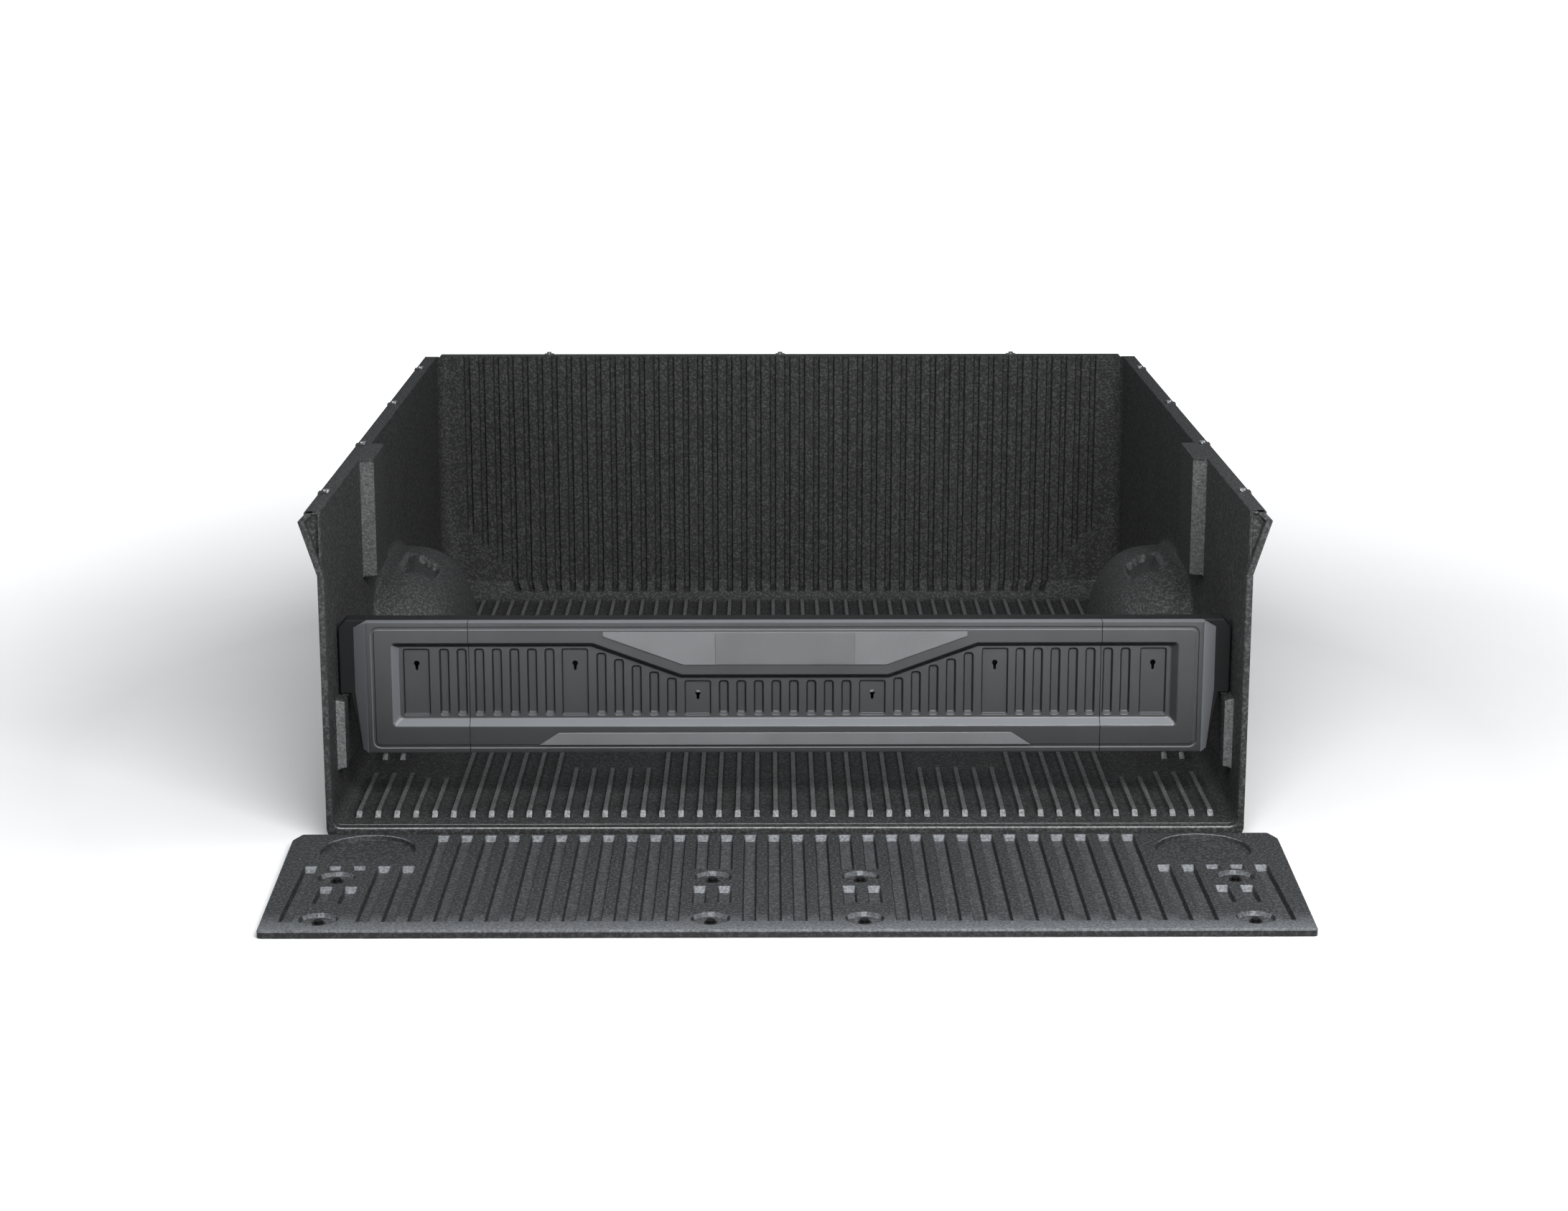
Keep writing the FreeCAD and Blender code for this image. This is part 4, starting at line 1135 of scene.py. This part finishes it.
def pebbled(name, dark, light, tint, painted_sheen=None):
    """Moulded polyethylene with a pebble grain, and painted highlight or painted shade on the faces
    marked for it.

    The last argument gives two places along Y, in millimetres, between which a painted sheen makes it
    paler.
    """
    look = Look(name)
    pebbles = look.cells(3.6)
    fine = look.noise(1.4)
    speckle = look.stretch(look.noise(4.4, 2.0), 0.46, 0.66)
    patches = look.stretch(look.noise(260.0, 3.0), 0.3, 0.7)
    base = look.blend(patches, grey(dark * 0.80, tint), grey(dark * 1.05, tint))
    color = look.blend(look.sum(speckle, 0.6, "MULTIPLY"), base, grey(light, tint))
    granules = look.stretch(look.noise(4.0, 3.0), 0.40, 0.60, 0.5, 1.0)
    pale = look.wear_and_painted_light()
    # Painted sheen: paler towards the liner's near edge.
    if painted_sheen:
        along = look.add("SeparateXYZ", {"Vector": look.place}).outputs["Y"]
        start, stop = [(place + REAR_EDGE) * MM for place in painted_sheen]
        near = look.stretch(along, start, stop, 0.0, 0.3)
        pale = look.sum(pale, near)
    # Painted highlight where the face mark is above zero, painted shade where it is below.
    color = look.blend(look.sum(pale, granules, "MULTIPLY"), color, grey(light * WEAR_AND_HIGHLIGHT_GAIN, tint))
    color = look.blend(look.stretch(pale, 0.0, -1.0), color, grey(dark * 0.2, tint))
    look.link(Base_Color=color, Roughness=look.stretch(speckle, 0.0, 1.0, 0.66, 0.48))
    look.shader.inputs["Specular IOR Level"].default_value = 0.35
    grain = look.sum(look.sum(pebbles, -0.8, "MULTIPLY"), look.sum(fine, 0.3, "MULTIPLY"))
    look.bump(grain, 0.8, 0.9)
    return look.material


def satin(name, level, tint, roughness, shine=0.5, pale=2.6, fade=None):
    """Injection-moulded plastic with a fine even texture and faint handling marks.

    shine is its specular level, and pale is how many times lighter its faces marked for a painted
    highlight are. fade gives two heights in millimetres between which a painted shade fades out,
    darkest at and below the lower one.
    """
    look = Look(name)
    fine = look.noise(0.9, 2.0)
    cloud = look.stretch(look.noise(120.0, 3.0), 0.3, 0.7)
    color = look.blend(cloud, grey(level * 0.90, tint), grey(level * 1.10, tint))
    color = look.blend(look.stretch(fine, 0.55, 0.75, 0.0, 0.35), color, grey(level * 1.5, tint))
    # Painted shade: darker towards the bottom, between the two heights given.
    if fade:
        up = look.add("SeparateXYZ", {"Vector": look.place}).outputs["Z"]
        painted_shade = look.stretch(up, fade[0] * MM, fade[1] * MM, 0.75, 0.0)
        color = look.blend(painted_shade, color, grey(level * 0.3, tint))
    # Painted highlight where the face mark is above zero, painted shade where it is below.
    color = look.blend(look.wear_and_painted_light(), color, grey(level * pale, tint))
    color = look.blend(look.stretch(look.wear_and_painted_light(), 0.0, -1.0), color, grey(level * 0.15, tint))
    marks = look.stretch(look.noise(35.0, 5.0), 0.45, 0.75, roughness, roughness + 0.12)
    look.link(Base_Color=color, Roughness=marks)
    look.shader.inputs["Specular IOR Level"].default_value = shine
    look.bump(fine, 0.08, 0.6)
    return look.material


def metal(name, level, roughness, tint=0.0, streak=None):
    """Plated or bare metal, with a mottled or drawn finish."""
    look = Look(name, metallic=1.0)
    place = look.place
    if streak:
        place = look.add("Mapping", {"Vector": look.place, "Scale": streak}).outputs["Vector"]
    mottle = look.noise(3.0, 4.0, place)
    color = look.blend(look.stretch(mottle, 0.3, 0.7), grey(level * 0.8, tint), grey(level, tint))
    look.link(Base_Color=color, Roughness=look.stretch(mottle, 0.3, 0.7, roughness - 0.07, roughness + 0.1))
    look.bump(mottle, 0.03, 0.5)
    return look.material


def rubber(name):
    look = Look(name, roughness=0.8)
    fine = look.noise(1.0, 3.0)
    look.link(Base_Color=look.blend(fine, grey(0.012), grey(0.03)))
    look.bump(fine, 0.15, 0.7)
    return look.material


def make_materials():
    return {
        "liner_plastic": pebbled("liner_plastic", 0.020, 0.085, 0.01),
        # The gate's last argument places a painted sheen along its near edge.
        "gate_plastic": pebbled("gate_plastic", 0.018, 0.10, 0.05, (-395.0, -460.0)),
        # The divider gets painted highlights and shades on its marked faces, and painted shade towards its
        # bottom.
        "divider_plastic": satin("divider_plastic", 0.050, 0.05, 0.42, pale=4.8, fade=(90.0, 345.0)),
        "badge_plastic": satin("badge_plastic", 0.135, 0.03, 0.34),
        "name_plate_plastic": satin("name_plate_plastic", 0.10, 0.03, 0.28, shine=0.6),
        "cap_plastic": satin("cap_plastic", 0.010, 0.05, 0.55, shine=0.22),
        "shell_plastic": satin("shell_plastic", 0.022, 0.05, 0.45),
        "pad_rubber": rubber("pad_rubber"),
        "clip_steel": metal("clip_steel", 0.12, 0.45),
        "tube_steel": metal("tube_steel", 0.55, 0.35, 0.02, (0.05, 1.0, 1.0)),
        "splice_aluminium": metal("splice_aluminium", 0.75, 0.33, 0.0, (0.1, 1.0, 1.0)),
        "screw_steel": metal("screw_steel", 0.6, 0.3, 0.02),
        "screw_black": metal("screw_black", 0.05, 0.4),
    }


def finish_nodes(materials, drawn):
    """Give the CAD nodes and the drawn pieces their materials."""
    for part in frame["record"]["subparts"]:
        node = frame["nodes"][part["node"]]
        node.data.materials.clear()
        node.data.materials.append(materials[part["material_slot"]])
    for piece in drawn:
        piece.data.materials.append(materials[piece["slot_name"]])


def soften_edges(node, width):
    """Round a kept CAD node's edges as moulding and stamping do."""
    weld = node.modifiers.new("weld", "WELD")
    weld.merge_threshold = 1e-5
    bevel = node.modifiers.new("edges", "BEVEL")
    bevel.width = width * MM
    bevel.segments = 3
    bevel.limit_method = "ANGLE"
    bevel.angle_limit = math.radians(30)
    bevel.harden_normals = False
    normals = node.modifiers.new("normals", "WEIGHTED_NORMAL")
    normals.keep_sharp = False


# Width in millimetres of the kept nodes' rounded edges; the second lot come in pairs.
SOFT_EDGES = {
    "badge_plate": 1.2, "blank_name_plate": 0.6, "lower_trim_strip": 1.2, "divider_top_rail": 2.0,
    "divider_back_shell": 2.0, "stiffening_tube": 1.5, "front_rail_clips": 0.4,
    "front_rail_screws": 0.5, "tailgate_washers": 0.25, "tailgate_screws": 0.8,
    "splice_screws": 0.4, "divider_screws": 0.6,
}
PAIR_EDGES = {"end_cap": 3.0, "splice_plate": 0.5, "rest_pad": 0.8, "rail_clips": 0.4, "rail_screws": 0.5}


# ---------------------------------------------------------------- stage

# The floor's half size, its drop under the object, and where it starts and ends its fade, metres.
FLOOR_REACH, FLOOR_DROP = 60.0, -0.0006
FADE_START, FADE_END = 1.3, 3.6
# Each lamp's name, place, aim, size and power, in metres and watts.
LAMPS = (
    ("key", (0.5, -2.6, 1.8), (0.0, -0.45, 0.1), (1.8, 0.5), 88.0),
    ("overhead", (0.0, -1.0, 3.4), (0.0, -0.8, 0.0), (3.0, 2.0), 45.0),
    ("left_side", (-3.4, 0.3, 2.4), (-0.8, 0.2, 0.0), (2.5, 1.0), 35.0),
    ("right_side", (3.4, 0.3, 2.4), (0.8, 0.2, 0.0), (2.5, 1.0), 35.0),
)


def make_floor():
    """A pale floor that fades into the white surround away from the object."""
    look = Look("stage_floor", roughness=0.9)
    paper = look.noise(400.0, 2.0)
    look.link(Base_Color=look.blend(paper, (0.82, 0.82, 0.82, 1), (0.86, 0.86, 0.86, 1)))
    away = look.add("VectorMath", {0: look.place}, operation="LENGTH").outputs["Value"]
    look.link(Emission_Strength=look.stretch(away, FADE_START, FADE_END))
    look.shader.inputs["Emission Color"].default_value = (1.0, 1.0, 1.0, 1.0)
    mesh = bpy.data.meshes.new("stage_floor")
    square = rectangle((-FLOOR_REACH, FLOOR_REACH), (-FLOOR_REACH, FLOOR_REACH))
    mesh.from_pydata([(x, y, FLOOR_DROP) for x, y in square], [], [(0, 1, 2, 3)])
    floor = bpy.data.objects.new("stage_floor", mesh)
    mesh.materials.append(look.material)
    bpy.context.scene.collection.objects.link(floor)
    floor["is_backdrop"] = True


def area_light(name, place, aim, size, energy):
    data = bpy.data.lights.new(name, "AREA")
    data.shape = "RECTANGLE"
    data.size, data.size_y = size
    data.energy = energy
    light = bpy.data.objects.new(name, data)
    light.visible_camera = False
    light.location = place
    light.rotation_euler = (Vector(aim) - Vector(place)).to_track_quat("-Z", "Y").to_euler()
    bpy.context.scene.collection.objects.link(light)


def make_world():
    """White to the camera, dim and a little cool as light."""
    world = bpy.data.worlds.new("studio")
    bpy.context.scene.world = world
    world.use_nodes = True
    tree = world.node_tree
    glow = tree.nodes["Background"]
    glow.inputs["Color"].default_value = (0.90, 0.95, 1.0, 1.0)
    glow.inputs["Strength"].default_value = 0.22
    white = tree.nodes.new("ShaderNodeBackground")
    white.inputs["Color"].default_value = (1.0, 1.0, 1.0, 1.0)
    seen = tree.nodes.new("ShaderNodeLightPath")
    mix = tree.nodes.new("ShaderNodeMixShader")
    tree.links.new(seen.outputs["Is Camera Ray"], mix.inputs[0])
    tree.links.new(glow.outputs[0], mix.inputs[1])
    tree.links.new(white.outputs[0], mix.inputs[2])
    tree.links.new(mix.outputs[0], tree.nodes["World Output"].inputs["Surface"])


def make_camera():
    data = bpy.data.cameras.new("view")
    data.sensor_width = 36.0
    data.lens = 66.59
    camera = bpy.data.objects.new("view", data)
    camera.location = (-0.0315, -5.1458, 1.4553)
    camera.rotation_euler = (math.radians(76.72), 0.0, math.radians(-0.367))
    bpy.context.scene.collection.objects.link(camera)
    bpy.context.scene.camera = camera
    bpy.context.scene.view_settings.view_transform = "Standard"


drawn = make_tub() + make_tailgate_liner() + make_faces()
finish_nodes(make_materials(), drawn)
for node_name, width in SOFT_EDGES.items():
    soften_edges(frame["nodes"][node_name], width)
for pair_name, width in PAIR_EDGES.items():
    for hand in ("left", "right"):
        soften_edges(frame["nodes"][f"{hand}_{pair_name}"], width)
make_floor()
make_world()
for lamp in LAMPS:
    area_light(*lamp)
make_camera()
